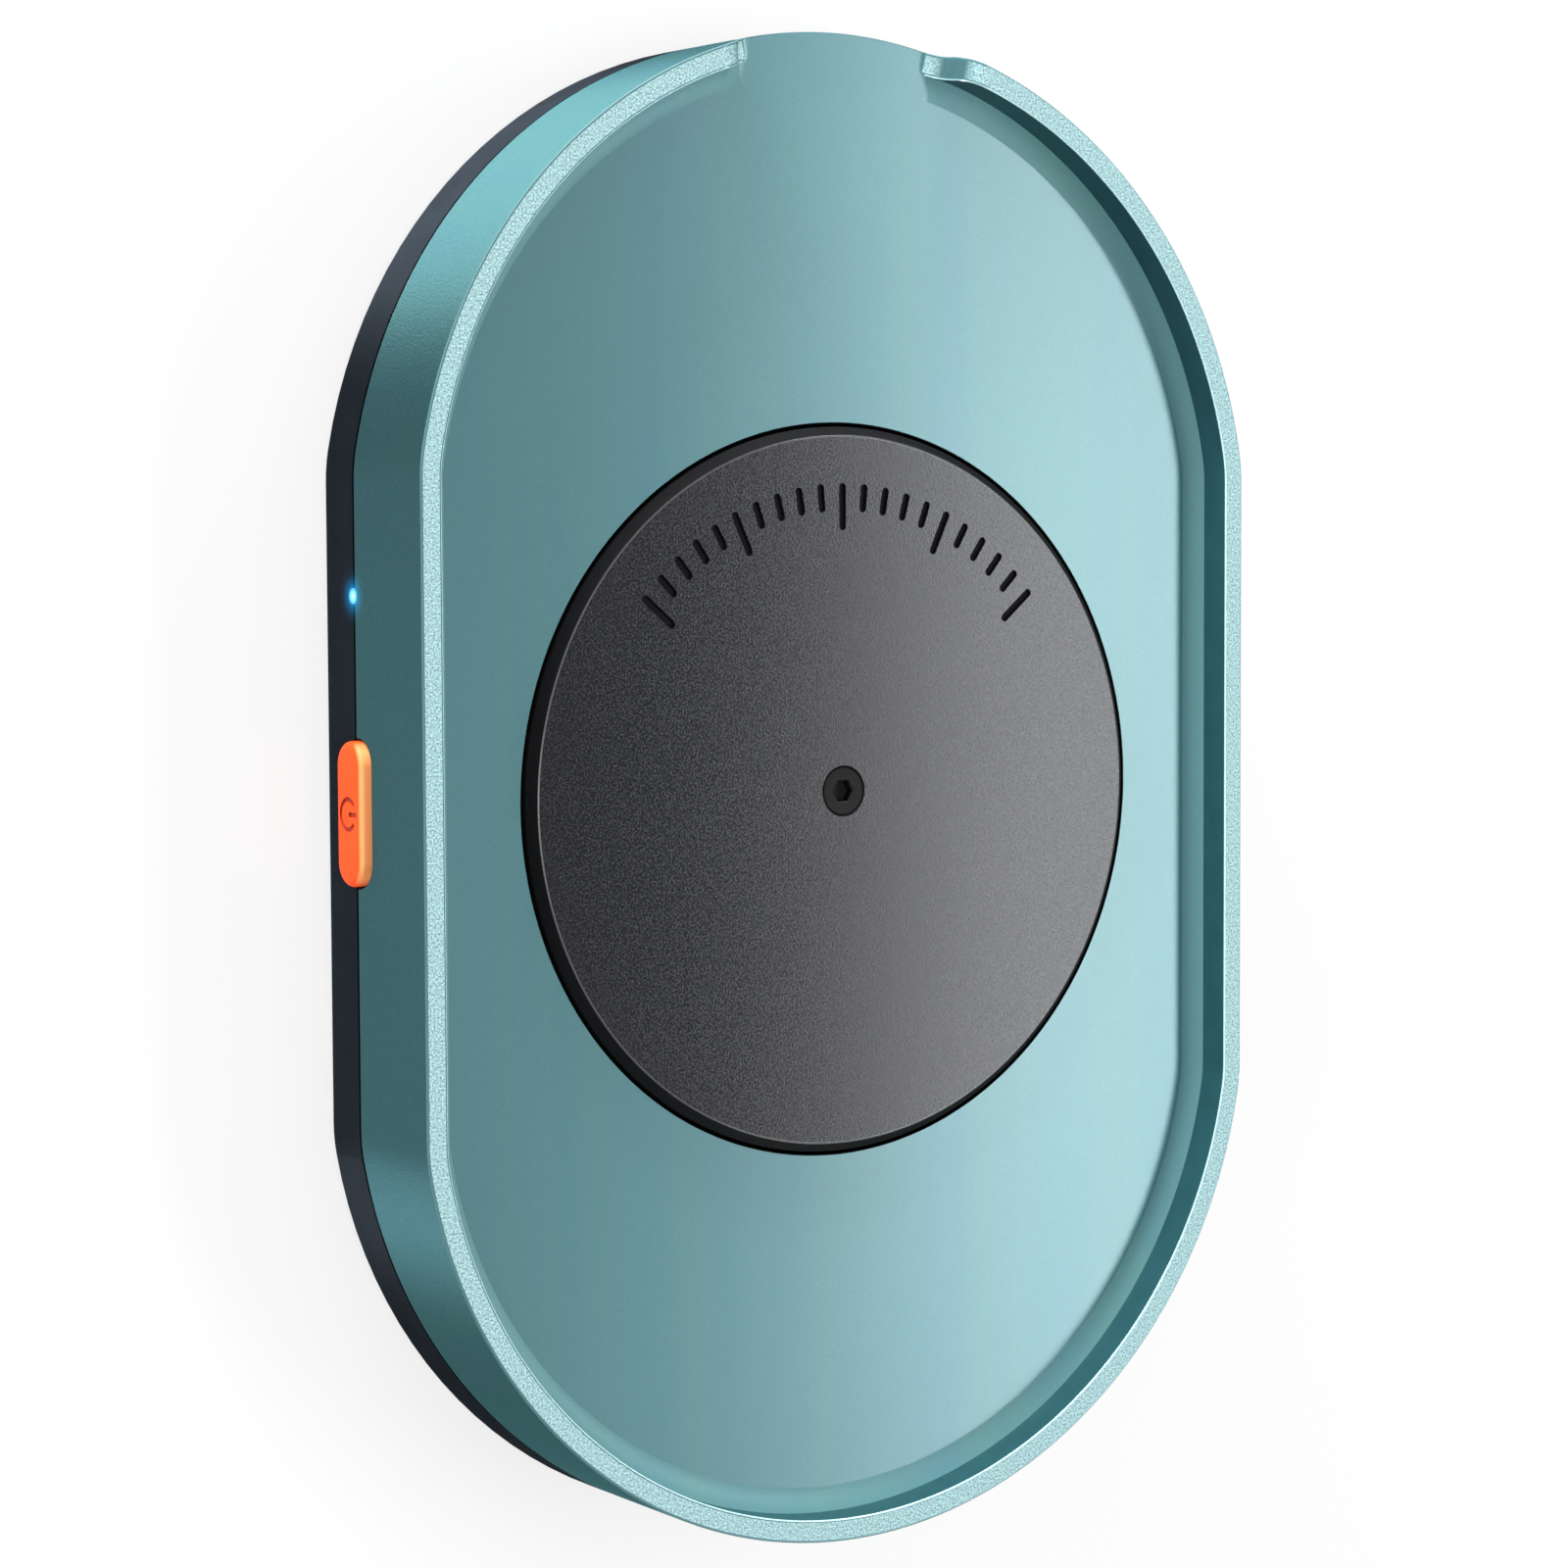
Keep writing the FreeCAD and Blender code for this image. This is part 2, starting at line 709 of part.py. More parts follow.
def lower_bush():
    bore = spindle_journal_radius + running_clearance
    return tube(bore + lower_bush_wall, bore, centre_post_top - lower_bush_length, centre_post_top)


def thrust_washer():
    return tube(washer_radius, spindle_journal_radius + fit_gap, centre_post_top, washer_top)


def idler_axle():
    return cylinder(idler_axle_radius, idler_post_socket, recess_underside + idler_axle_socket, 0, idler_y)


# ---------------------------------------------------------------- motor


def motor_ear_places():
    places = []
    for degrees in (motor_ear_angle, motor_ear_angle + 180):
        x, y = polar(motor_ear_distance, degrees)
        places.append((x, motor_y + y))
    return places


def motor_can():
    can = cylinder(motor_radius, motor_bottom, motor_ear_bottom, 0, motor_y)
    inner_radius = motor_radius - motor_can_wall
    hollow = cylinder(inner_radius, motor_bottom + motor_can_wall, motor_ear_bottom, 0, motor_y)
    pivot_radius = motor_shaft_radius + running_clearance
    pivot = cylinder(pivot_radius, motor_bottom + motor_can_wall / 2, motor_top, 0, motor_y)
    return can.cut(hollow).cut(pivot)


def motor_flange():
    plate = cylinder(motor_radius, motor_ear_bottom, motor_top, 0, motor_y)
    for x, y in motor_ear_places():
        ear = cylinder(motor_ear_radius, motor_ear_bottom, motor_top, x, y)
        bar = box(0, motor_ear_distance, -motor_ear_radius, motor_ear_radius, motor_ear_bottom, motor_top)
        bar.rotate(V(0, 0, 0), V(0, 0, 1), math.degrees(math.atan2(y - motor_y, x)))
        plate = plate.fuse(ear).fuse(moved(bar, 0, motor_y))
    for x, y in motor_ear_places():
        plate = plate.cut(cylinder(small_screw_shank_radius + fit_gap, motor_ear_bottom, motor_top, x, y))
    return one_solid(plate.cut(cylinder(motor_bearing_radius, motor_ear_bottom, motor_top, 0, motor_y)))


def motor_bearing():
    return tube(motor_bearing_radius, motor_shaft_radius + running_clearance,
                motor_ear_bottom - 0.2, motor_top + motor_bearing_stand, 0, motor_y)


def motor_coils():
    """Two ring windings, one above the other, inside the can."""
    bottom = motor_bottom + motor_can_wall
    middle = (bottom + motor_ear_bottom) / 2
    outer = motor_radius - motor_can_wall
    lower = tube(outer, coil_inner_radius, bottom, middle - coil_gap / 2, 0, motor_y)
    upper = tube(outer, coil_inner_radius, middle + coil_gap / 2, motor_ear_bottom, 0, motor_y)
    return Part.makeCompound([lower, upper])


def motor_shaft():
    bottom = motor_bottom + motor_can_wall / 2 + end_play
    return cylinder(motor_shaft_radius, bottom, upper_gear_top, 0, motor_y)


def rotor_magnet():
    bottom = motor_bottom + motor_can_wall + 0.4
    return tube(rotor_radius, motor_shaft_radius, bottom, motor_ear_bottom - 0.5, 0, motor_y)


def motor_terminal():
    """Moulded block on the can's side where the coil ends meet the four wires."""
    y = motor_y + terminal_offset
    block = box(-terminal_reach, 0, y - terminal_width / 2, y + terminal_width / 2,
                wire_z - terminal_height / 2, wire_z + terminal_height / 2)
    block = block.cut(cylinder(motor_radius, 0, rim_top, 0, motor_y))
    block = max(block.Solids, key=lambda solid: solid.Volume)
    entry_end = -terminal_reach + wire_entry
    for i in range(wire_count):
        wire_y = y + (i - (wire_count - 1) / 2) * wire_pitch
        block = block.cut(cylinder_x(wire_radius, -terminal_reach, entry_end, wire_y, wire_z))
    return block


def motor_wire(index):
    """One round wire: from the motor's block towards -X, one bend, then +Y into the plug."""
    place = index - (wire_count - 1) / 2
    y = motor_y + terminal_offset + place * wire_pitch
    x = header_x + place * plug_pitch
    bend = wire_bend_radius
    start = V(-terminal_reach + wire_entry, y, wire_z)
    into = V(x + bend, y, wire_z)
    slant = bend * (1 - math.sqrt(0.5))
    middle = V(x + slant, y + slant, wire_z)
    out = V(x, y + bend, wire_z)
    end = V(x, plug_start + wire_entry, wire_z)
    route = Part.Wire([
        Part.LineSegment(start, into).toShape(),
        Part.Arc(into, middle, out).toShape(),
        Part.LineSegment(out, end).toShape(),
    ])
    section = Part.Wire([Part.makeCircle(wire_radius, start, V(-1, 0, 0))])
    return route.makePipeShell([section], True, False)


# ---------------------------------------------------------------- electronics


def board_screw_places():
    side = board_main_half_width - board_screw_inset
    near = board_main_start + board_screw_inset
    far = board_tip - board_shoulder - board_screw_inset + far_screw_advance
    return [(side, near), (side, far), (-side, far), (board_arm_x, led_y - arm_screw_before_light)]


def board_post_places():
    """Screw posts, and two plain rests: beside the motor's header and under the port."""
    beside_header = (board_arm_x, header_start + header_length + post_radius)
    under_port = (0, board_tip - port_rest_inset)
    return board_screw_places() + [beside_header, under_port]


def main_board():
    """L-shaped board: an arm along the -X side for the motor, button and light, and a main field."""
    arm_right = board_left + board_arm_width
    side = board_main_half_width
    tip_corner_x = (side + board_tip_half_width) / 2
    half_tip = [
        (side, board_tip - board_shoulder),
        (tip_corner_x, board_tip - board_tip_slope),
        (board_tip_half_width, board_tip),
    ]
    outline = [
        (board_left, board_arm_start),
        (arm_right, board_arm_start),
        (arm_right, board_main_start - board_inner_corner),
        (arm_right + board_inner_corner, board_main_start),
        (side, board_main_start),
    ]
    outline += half_tip
    outline += [(-x, y) for x, y in reversed(half_tip)]
    outline += [
        (-side, board_main_start + board_arm_joint + board_inner_corner),
        (arm_right - board_outer_corner, board_main_start + board_arm_joint),
        (board_left, board_main_start + board_arm_joint),
    ]
    board = prism([V(x, y, board_bottom) for x, y in outline], V(0, 0, board_thickness))
    for x, y in board_screw_places():
        board = board.cut(cylinder(small_screw_shank_radius + fit_gap, board_bottom, board_top, x, y))
    return board


def cross_recess(x, y, z0, z1, reach):
    half = cross_slot_width / 2
    across = box(x - reach, x + reach, y - half, y + half, z0, z1)
    return across.fuse(box(x - half, x + half, y - reach, y + reach, z0, z1))


def small_screw(x, y, seat, screw_length):
    head_top = seat + small_screw_head_height
    head = chamfer_at(cylinder(small_screw_head_radius, seat, head_top, x, y), head_top, 0.3)
    screw = head.fuse(cylinder(small_screw_shank_radius, seat - screw_length, seat, x, y))
    return one_solid(screw.cut(cross_recess(x, y, head_top - 0.5, head_top, 0.8)))


def motor_screws():
    screws = [small_screw(x, y, motor_top, motor_screw_length) for x, y in motor_ear_places()]
    return Part.makeCompound(screws)


def board_screws():
    screws = [small_screw(x, y, board_top, board_screw_length) for x, y in board_screw_places()]
    return Part.makeCompound(screws)


def case_screws():
    """Heads down in the base's counterbores, shanks up into the shell's bosses."""
    screws = []
    head_bottom = case_screw_seat - case_screw_head_height
    for x, y in at_corners(case_screw_x, case_screw_y):
        head = cylinder(case_screw_head_radius, head_bottom, case_screw_seat, x, y)
        head = chamfer_at(head, head_bottom, 0.35)
        tip = case_screw_seat + case_screw_length
        shank = cylinder(case_screw_shank_radius, case_screw_seat, tip, x, y)
        screw = head.fuse(shank).cut(cross_recess(x, y, head_bottom, head_bottom + 0.7, 1.1))
        screws.append(one_solid(screw))
    return Part.makeCompound(screws)


def port_shell():
    """Steel shell of the power port, open at the housing's end and closed at the back."""
    mouth = V(0, port_mouth_y, port_z)
    outer = pill(mouth, V(1, 0, 0), V(0, 0, 1), port_width, port_height, V(0, -port_length, 0))
    hollow = pill(mouth, V(1, 0, 0), V(0, 0, 1), port_width - 2 * port_wall, port_height - 2 * port_wall,
                  V(0, port_wall - port_length, 0))
    return outer.cut(hollow)


def port_tongue():
    """Insulator with the contact tongue in the middle of the port."""
    back = port_mouth_y - port_length + port_wall
    plug = pill(V(0, back + tongue_base_depth, port_z), V(1, 0, 0), V(0, 0, 1),
                port_width - 2 * port_wall, port_height - 2 * port_wall, V(0, -tongue_base_depth, 0))
    tongue = box(-tongue_width / 2, tongue_width / 2, back, port_mouth_y - tongue_set_back,
                 port_z - tongue_thickness / 2, port_z + tongue_thickness / 2)
    return one_solid(plug.fuse(tongue))


def wire_header():
    """Socket on the board, open towards -Y, that takes the motor's plug."""
    x0, x1 = header_x - header_width / 2, header_x + header_width / 2
    end = header_start + header_length
    body = box(x0, x1, header_start, end, board_top, board_top + header_height)
    room_end = header_start + plug_insert + plug_clearance
    room = box(x0 + header_wall, x1 - header_wall, header_start, room_end,
               board_top + header_wall, board_top + header_height - header_wall)
    return body.cut(room)


def wire_plug():
    gap = header_wall + plug_clearance
    body = box(header_x - header_width / 2 + gap, header_x + header_width / 2 - gap,
               plug_start, plug_start + plug_length, board_top + gap, board_top + header_height - gap)
    for i in range(wire_count):
        x = header_x + (i - (wire_count - 1) / 2) * plug_pitch
        hole = Part.makeCylinder(wire_radius, wire_entry, V(x, plug_start, wire_z), V(0, 1, 0))
        body = body.cut(hole)
    return body


def power_button():
    """Pill-shaped cap through the housing's side, with a flange and a stem inside."""
    along, across = V(0, 1, 0), V(0, 0, 1)
    outer_x = -width / 2 - button_proud
    cap = pill(V(outer_x, button_y, button_z), along, across, button_length, button_height,
               V(flange_inner_x - outer_x, 0, 0))
    front = [e for e in cap.Edges if e.BoundBox.XMax < outer_x + 1e-6]
    cap = cap.makeFillet(button_edge, front)
    flange = pill(V(flange_outer_x, button_y, button_z), along, across,
                  button_length + 2 * button_flange_rim, button_height + 2 * button_flange_rim,
                  V(button_flange_thickness, 0, 0))
    stem = cylinder_x(button_stem_radius, flange_inner_x, plunger_tip_x, button_y, button_z)
    return one_solid(cap.fuse(flange).fuse(stem).cut(power_mark(outer_x)))


def power_mark(outer_x):
    """Standby mark: a ring that is open at the top, with a bar in the opening."""
    x1 = outer_x + mark_depth
    ring = cylinder_x(mark_radius + mark_line / 2, outer_x - 1, x1, button_y, button_z)
    ring = ring.cut(cylinder_x(mark_radius - mark_line / 2, outer_x - 1, x1, button_y, button_z))
    reach = 2 * mark_radius
    half = math.radians(mark_opening / 2)
    wedge = prism([
        V(outer_x - 1, button_y, button_z),
        V(outer_x - 1, button_y + reach * math.sin(half), button_z + reach * math.cos(half)),
        V(outer_x - 1, button_y - reach * math.sin(half), button_z + reach * math.cos(half)),
    ], V(x1 - outer_x + 1, 0, 0))
    bar = box(outer_x - 1, x1, button_y - mark_line / 2, button_y + mark_line / 2,
              button_z + 0.1, button_z + mark_radius + mark_line / 2)
    return ring.cut(wedge).fuse(bar)


def switch_body():
    y0, y1 = button_y - switch_length / 2, button_y + switch_length / 2
    body = box(switch_face_x, switch_face_x + switch_depth, y0, y1, board_top, board_top + switch_height)
    guide = cylinder_x(plunger_radius + fit_gap, switch_face_x,
                       switch_face_x + plunger_guide + button_travel + fit_gap, button_y, button_z)
    return body.cut(guide)


def switch_cover():
    """Steel clip over the switch's top and back."""
    y0, y1 = button_y - switch_length / 2, button_y + switch_length / 2
    back = switch_face_x + switch_depth
    top = board_top + switch_height
    lid = box(switch_face_x, back + cover_thickness, y0, y1, top, top + cover_thickness)
    tail = box(back, back + cover_thickness, y0, y1, board_top, top)
    return one_solid(lid.fuse(tail))


def switch_plunger():
    return cylinder_x(plunger_radius, plunger_tip_x, switch_face_x + plunger_guide, button_y, button_z)


def status_led():
    return box(led_face_x, led_face_x + led_depth, led_y - led_length / 2, led_y + led_length / 2,
               board_top, board_top + led_height)


def light_pipe():
    pipe = cylinder_x(light_pipe_radius, -width / 2, led_face_x, led_y, led_z)
    collar = cylinder_x(light_pipe_radius + light_pipe_collar, inner_wall_x,
                        inner_wall_x + light_pipe_collar_thickness, led_y, led_z)
    return one_solid(pipe.fuse(collar))


def chip(x, y, size_x, size_y, height, leads, pitch):
    """A moulded chip with gull-wing leads along its two long sides, standing on the board."""
    half_x, half_y = size_x / 2, size_y / 2
    body = box(x - half_x, x + half_x, y - half_y, y + half_y, board_top + chip_stand, board_top + height)
    half_lead = 0.2 * pitch
    lead_top = board_top + height / 3
    for i in range(leads):
        lead_x = x + (i - (leads - 1) / 2) * pitch
        for y0, y1 in ((y - half_y - chip_foot, y - half_y), (y + half_y, y + half_y + chip_foot)):
            body = body.fuse(box(lead_x - half_lead, lead_x + half_lead, y0, y1, board_top, lead_top))
    return one_solid(body)


def controller_chip():
    return chip(0, controller_y, controller_length, controller_depth, controller_height,
                controller_lead_count, controller_lead_pitch)


def driver_chip():
    return chip(board_arm_x, led_y + driver_after_light, driver_length, driver_depth, driver_height,
                driver_lead_count, driver_lead_pitch)


def voltage_regulator():
    return chip(regulator_x, controller_y + regulator_after_controller,
                regulator_length, regulator_depth, regulator_height, regulator_lead_count, regulator_lead_pitch)


def on_board(x, y, size_x, size_y, height):
    x0, y0 = x - size_x / 2, y - size_y / 2
    return box(x0, x0 + size_x, y0, y0 + size_y, board_top, board_top + height)


def crystal():
    return on_board(crystal_x, controller_y - crystal_before_controller,
                    crystal_length, crystal_depth, crystal_height)


def capacitors():
    """Three beside the controller and three behind the port."""
    row_start = controller_y - capacitor_row_before_controller
    port_row_y = controller_y + port_capacitor_after_controller
    places = [(-capacitor_row_x, row_start + capacitor_spacing * i) for i in range(3)]
    places += [(-port_capacitor_x + port_capacitor_spacing * i, port_row_y) for i in range(3)]
    size = (capacitor_length, capacitor_depth, capacitor_height)
    return Part.makeCompound([on_board(x, y, *size) for x, y in places])


def resistors():
    """Four before the controller and two beside the light."""
    row_y = controller_y - resistor_row_before_controller
    light_row_x = board_arm_x + light_resistor_offset
    places = [(-resistor_row_x + resistor_spacing * i, row_y) for i in range(4)]
    places += [(light_row_x, led_y - light_resistor_spacing * i) for i in (1, 2)]
    size = (resistor_length, resistor_depth, resistor_height)
    return Part.makeCompound([on_board(x, y, *size) for x, y in places])


# ---------------------------------------------------------------- export

nodes = {
    "top_shell": top_shell,
    "base_cover": base_cover,
    "rubber_feet": rubber_feet,
    "case_screws": case_screws,
    "turntable_disc": turntable_disc,
    "disc_screw": disc_screw,
    "spindle": spindle,
    "output_gear": output_gear,
    "upper_bush": upper_bush,
    "lower_bush": lower_bush,
    "thrust_washer": thrust_washer,
    "idler_gear": idler_gear,
    "idler_axle": idler_axle,
    "motor_can": motor_can,
    "motor_flange": motor_flange,
    "motor_bearing": motor_bearing,
    "motor_coils": motor_coils,
    "motor_shaft": motor_shaft,
    "motor_pinion": motor_pinion,
    "rotor_magnet": rotor_magnet,
    "motor_terminal": motor_terminal,
    "motor_screws": motor_screws,
    "wire_plug": wire_plug,
    "wire_header": wire_header,
    "main_board": main_board,
    "board_screws": board_screws,
    "port_shell": port_shell,
    "port_tongue": port_tongue,
    "power_button": power_button,
    "switch_body": switch_body,
    "switch_cover": switch_cover,
    "switch_plunger": switch_plunger,
    "status_led": status_led,
    "light_pipe": light_pipe,
    "controller_chip": controller_chip,
    "driver_chip": driver_chip,
    "voltage_regulator": voltage_regulator,
    "crystal": crystal,
    "capacitors": capacitors,
    "resistors": resistors,
}
wire_colours = ("red", "yellow", "blue", "black")


def export(name, shape):
    if not shape.isValid():
        print("invalid shape:", name)
    shape.exportStep("parts/" + name + ".step")


os.makedirs("parts", exist_ok=True)
for name, build in nodes.items():
    export(name, build())
for number, colour in enumerate(wire_colours):
    export("motor_wire_" + colour, motor_wire(number))
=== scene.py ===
import json
import math

import bmesh
import bpy
from mathutils import Matrix, Vector


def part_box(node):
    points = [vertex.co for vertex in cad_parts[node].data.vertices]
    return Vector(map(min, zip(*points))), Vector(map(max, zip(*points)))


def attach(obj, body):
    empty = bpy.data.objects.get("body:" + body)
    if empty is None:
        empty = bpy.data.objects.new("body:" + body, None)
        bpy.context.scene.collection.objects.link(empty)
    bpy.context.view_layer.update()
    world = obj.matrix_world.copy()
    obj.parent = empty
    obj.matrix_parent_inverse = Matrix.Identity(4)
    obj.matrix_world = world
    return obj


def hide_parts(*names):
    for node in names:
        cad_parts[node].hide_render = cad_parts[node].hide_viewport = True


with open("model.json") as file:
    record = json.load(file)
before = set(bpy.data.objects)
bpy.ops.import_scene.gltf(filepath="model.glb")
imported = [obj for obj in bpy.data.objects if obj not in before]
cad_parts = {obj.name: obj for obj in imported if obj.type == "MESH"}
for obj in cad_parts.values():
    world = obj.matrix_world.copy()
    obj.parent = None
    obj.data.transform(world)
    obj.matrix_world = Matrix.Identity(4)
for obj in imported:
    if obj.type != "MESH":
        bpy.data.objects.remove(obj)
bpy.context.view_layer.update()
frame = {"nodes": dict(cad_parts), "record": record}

# Mouse jiggler. Shapes are worked out in millimetres and scaled to metres when a mesh is made.
# +Y points to the end with the cable notch, -X to the side with the button.
MM = 0.001


def box_mm(node):
    """A node's lowest and highest corner, in millimetres."""
    low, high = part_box(node)
    return low / MM, high / MM


# ---------------------------------------------------------------- sizes, in millimetres

shell_low, shell_high = box_mm("top_shell")
disc_low, disc_high = box_mm("turntable_disc")
button_low, button_high = box_mm("power_button")
screw_low, screw_high = box_mm("disc_screw")
pipe_low, pipe_high = box_mm("light_pipe")
feet_high = box_mm("rubber_feet")[1]

width = shell_high.x - shell_low.x
length = shell_high.y - shell_low.y
end_bulge = 0.4
corner_radius = 14.0
seam = shell_low.z
rim_top = shell_high.z
wall = 1.8
tray_depth = 3.3
deck_top = rim_top - tray_depth
ceiling = deck_top - 1.8
rim_edge = 0.08
rim_border = 0.2
seam_chamfer = 0.12
edge_round = 0.04
cove_width = 1.95
cove_slope = math.radians(30)
deck_margin = 4.0
lip_room_inset = 0.9
lip_room_height = 1.2
wall_reach = 4.0  # from the outside to where the openings in the side wall end

notch_floor_half = 8.4
notch_top_half = 12.5

disc_radius = disc_high.x
disc_top = disc_high.z
disc_bottom = disc_low.z
disc_chamfer = 0.75
recess_radius = disc_radius + 0.25
recess_floor = disc_bottom - 0.6
recess_underside = recess_floor - 1.2
recess_skirt = 1.8
recess_chamfer = 0.1
bush_seat_radius = 3.53

tick_count = 21
tick_span = math.radians(100)
tick_width = 0.6
tick_depth = 0.25
tick_outer = 24.5
tick_long = 3.7
tick_short = 2.2
tick_long_every = 5

head_radius = 1.9
head_rim = 0.15
hole_gap = 0.05
hole_chamfer = 0.1
hex_across = 1.65
hex_depth = 0.8
shank_radius = 1.0

button_length = 11.1
button_height = 3.8
button_y = -0.5
button_z = seam + 0.3
button_gap = 0.12
button_mouth = 0.1
button_round = 0.45
flange_overlap = 0.7
flange_thickness = 0.7
stem_radius = 1.2
button_face = button_low.x
mark_radius = 1.15
mark_line = 0.36
mark_depth = 0.15
mark_opening = math.radians(76)

pipe_radius = 0.6
pipe_z = seam - 0.2

port_z = 5.38
port_half_width = 4.67
port_half_height = 1.78
port_room = 7.3

boss_radius = 2.8
boss_bore = 1.0
boss_bottom = 5.85
boss_x = 25.5
boss_y = 41.5

foot_radius = 5.0
foot_x = feet_high.x - foot_radius
foot_y = feet_high.y - foot_radius
foot_round = 0.3
foot_core = 0.4
groove_depth = 0.18
groove_outer = 3.4
groove_inner = 2.6
groove_slope = 0.2
groove_edge = 0.08

end_radius = width / 2 + end_bulge
end_y = length / 2 - end_radius
corner_x = width / 2 - corner_radius
corner_y = end_y + math.sqrt((end_radius - corner_radius) ** 2 - corner_x ** 2)

# ---------------------------------------------------------------- outlines and loops


def steps(start, end, count):
    """Evenly spaced values from start to end, both included."""
    return [start + (end - start) * i / count for i in range(count + 1)]


def outline_stations():
    """Places round the housing, each (centre x, centre y, radius, direction), anticlockwise."""
    turn = math.atan2(corner_y - end_y, corner_x)
    ramp_low = math.acos(min(1, (notch_top_half + 0.3) / end_radius))
    ramp_high = math.acos((notch_floor_half - 0.6) / end_radius)
    end_angles = steps(turn, ramp_low, 90) + steps(ramp_low, ramp_high, 60)[1:]
    end_angles += steps(ramp_high, math.pi / 2, 16)[1:]
    quarter = [(corner_x, y, corner_radius, 0.0) for y in steps(0, corner_y, 24)]
    quarter += [(corner_x, corner_y, corner_radius, a) for a in steps(0, turn, 6)[1:]]
    quarter += [(0.0, end_y, end_radius, a) for a in end_angles[1:]]
    back = quarter[::-1]
    ring = quarter[:-1]
    ring += [(-x, y, r, math.pi - a) for x, y, r, a in back[:-1]]
    ring += [(-x, -y, r, math.pi + a) for x, y, r, a in quarter[:-1]]
    ring += [(x, -y, r, -a) for x, y, r, a in back[:-1]]
    return ring


stations = outline_stations()


def outline(inset):
    """The housing's outline from above, moved inwards, as (x, y) pairs."""
    return [(x + (r - inset) * math.cos(a), y + (r - inset) * math.sin(a)) for x, y, r, a in stations]


polar_angles = [math.atan2(y, x) for x, y in outline(0)]


def circle(radius):
    """A circle about the turntable's axis with as many points as the outline has."""
    return [(radius * math.cos(a), radius * math.sin(a)) for a in polar_angles]


def even_circle(radius, count, x=0.0, y=0.0):
    angles = [2 * math.pi * i / count for i in range(count)]
    return [(x + radius * math.cos(a), y + radius * math.sin(a)) for a in angles]


def at_height(points, z):
    return [(x, y, z) for x, y in points]


def soften(profile, segments=4):
    """A closed profile of (across, height, radius) corners, with each corner rounded."""
    points = []
    count = len(profile)
    for i, (u, v, radius) in enumerate(profile):
        here = Vector((u, v))
        if radius == 0:
            points.append(here)
            continue
        before = (Vector(profile[i - 1][:2]) - here).normalized()
        after = (Vector(profile[(i + 1) % count][:2]) - here).normalized()
        half = before.angle(after) / 2
        reach = radius / math.tan(half)
        centre = here + (before + after).normalized() * radius / math.sin(half)
        first = (here + before * reach - centre).normalized()
        last = (here + after * reach - centre).normalized()
        points.append(here + before * (reach + radius * 0.4))
        for t in steps(0, 1, segments):
            points.append(centre + first.slerp(last, t) * radius)
        points.append(here + after * (reach + radius * 0.4))
    return points


def loft(loops, closed=False):
    """Vertices and faces of a skin through loops of equal counts. Open skins get end faces."""
    count = len(loops[0])
    vertices = [point for loop in loops for point in loop]
    faces = []
    spans = len(loops) if closed else len(loops) - 1
    for i in range(spans):
        a = i * count
        b = (i + 1) % len(loops) * count
        for k in range(count):
            m = (k + 1) % count
            faces.append((a + k, a + m, b + m, b + k))
    if not closed:
        faces.append(tuple(range(count)))
        faces.append(tuple(range(len(vertices) - 1, len(vertices) - 1 - count, -1)))
    return vertices, faces


def pill_loop(long_size, short_size, count=24):
    """A slot's outline about the origin: (along, across) pairs, two half circles."""
    radius = short_size / 2
    reach = long_size / 2 - radius
    loop = []
    for side, start in ((1, -math.pi / 2), (-1, math.pi / 2)):
        for a in steps(start, start + math.pi, count):
            loop.append((side * reach + radius * math.cos(a), radius * math.sin(a)))
    return loop


# ---------------------------------------------------------------- pieces


def mesh_from(name, parts):
    """One mesh, in metres, from several (vertices, faces) in millimetres."""
    vertices, faces = [], []
    for part_vertices, part_faces in parts:
        offset = len(vertices)
        vertices += [(x * MM, y * MM, z * MM) for x, y, z in part_vertices]
        faces += [tuple(i + offset for i in face) for face in part_faces]
    mesh = bpy.data.meshes.new(name)
    mesh.from_pydata(vertices, [], faces)
    work = bmesh.new()
    work.from_mesh(mesh)
    bmesh.ops.remove_doubles(work, verts=work.verts, dist=1e-6)
    bmesh.ops.dissolve_degenerate(work, edges=work.edges, dist=1e-7)
    bmesh.ops.recalc_face_normals(work, faces=work.faces)
    work.to_mesh(mesh)
    work.free()
    return mesh


def carve(piece, cutters):
    """Cut the closed shapes in cutters out of the piece."""
    tool = bpy.data.objects.new("cutter", mesh_from("cutter", cutters))
    bpy.context.scene.collection.objects.link(tool)
    cut = piece.modifiers.new("cut", "BOOLEAN")
    cut.operation = "DIFFERENCE"
    cut.solver = "EXACT"
    cut.use_self = False
    cut.object = tool
    evaluated = piece.evaluated_get(bpy.context.evaluated_depsgraph_get())
    mesh = bpy.data.meshes.new_from_object(evaluated)
    piece.modifiers.clear()
    piece.data = mesh
    bpy.data.objects.remove(tool)


def make_piece(name, parts, body, replaced, materials, cutters=(), zone=None, sharp=35):
    piece = bpy.data.objects.new(name, mesh_from(name, parts))
    bpy.context.scene.collection.objects.link(piece)
    if cutters:
        carve(piece, cutters)
    mesh = piece.data
    mesh.name = name
    mesh.materials.clear()
    for material in materials:
        mesh.materials.append(material)
    for face in mesh.polygons:
        face.material_index = zone(face.center / MM, face.normal) if zone else 0
    mesh.shade_smooth()
    mesh.set_sharp_from_angle(angle=math.radians(sharp))
    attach(piece, body)
    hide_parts(replaced)
    return piece


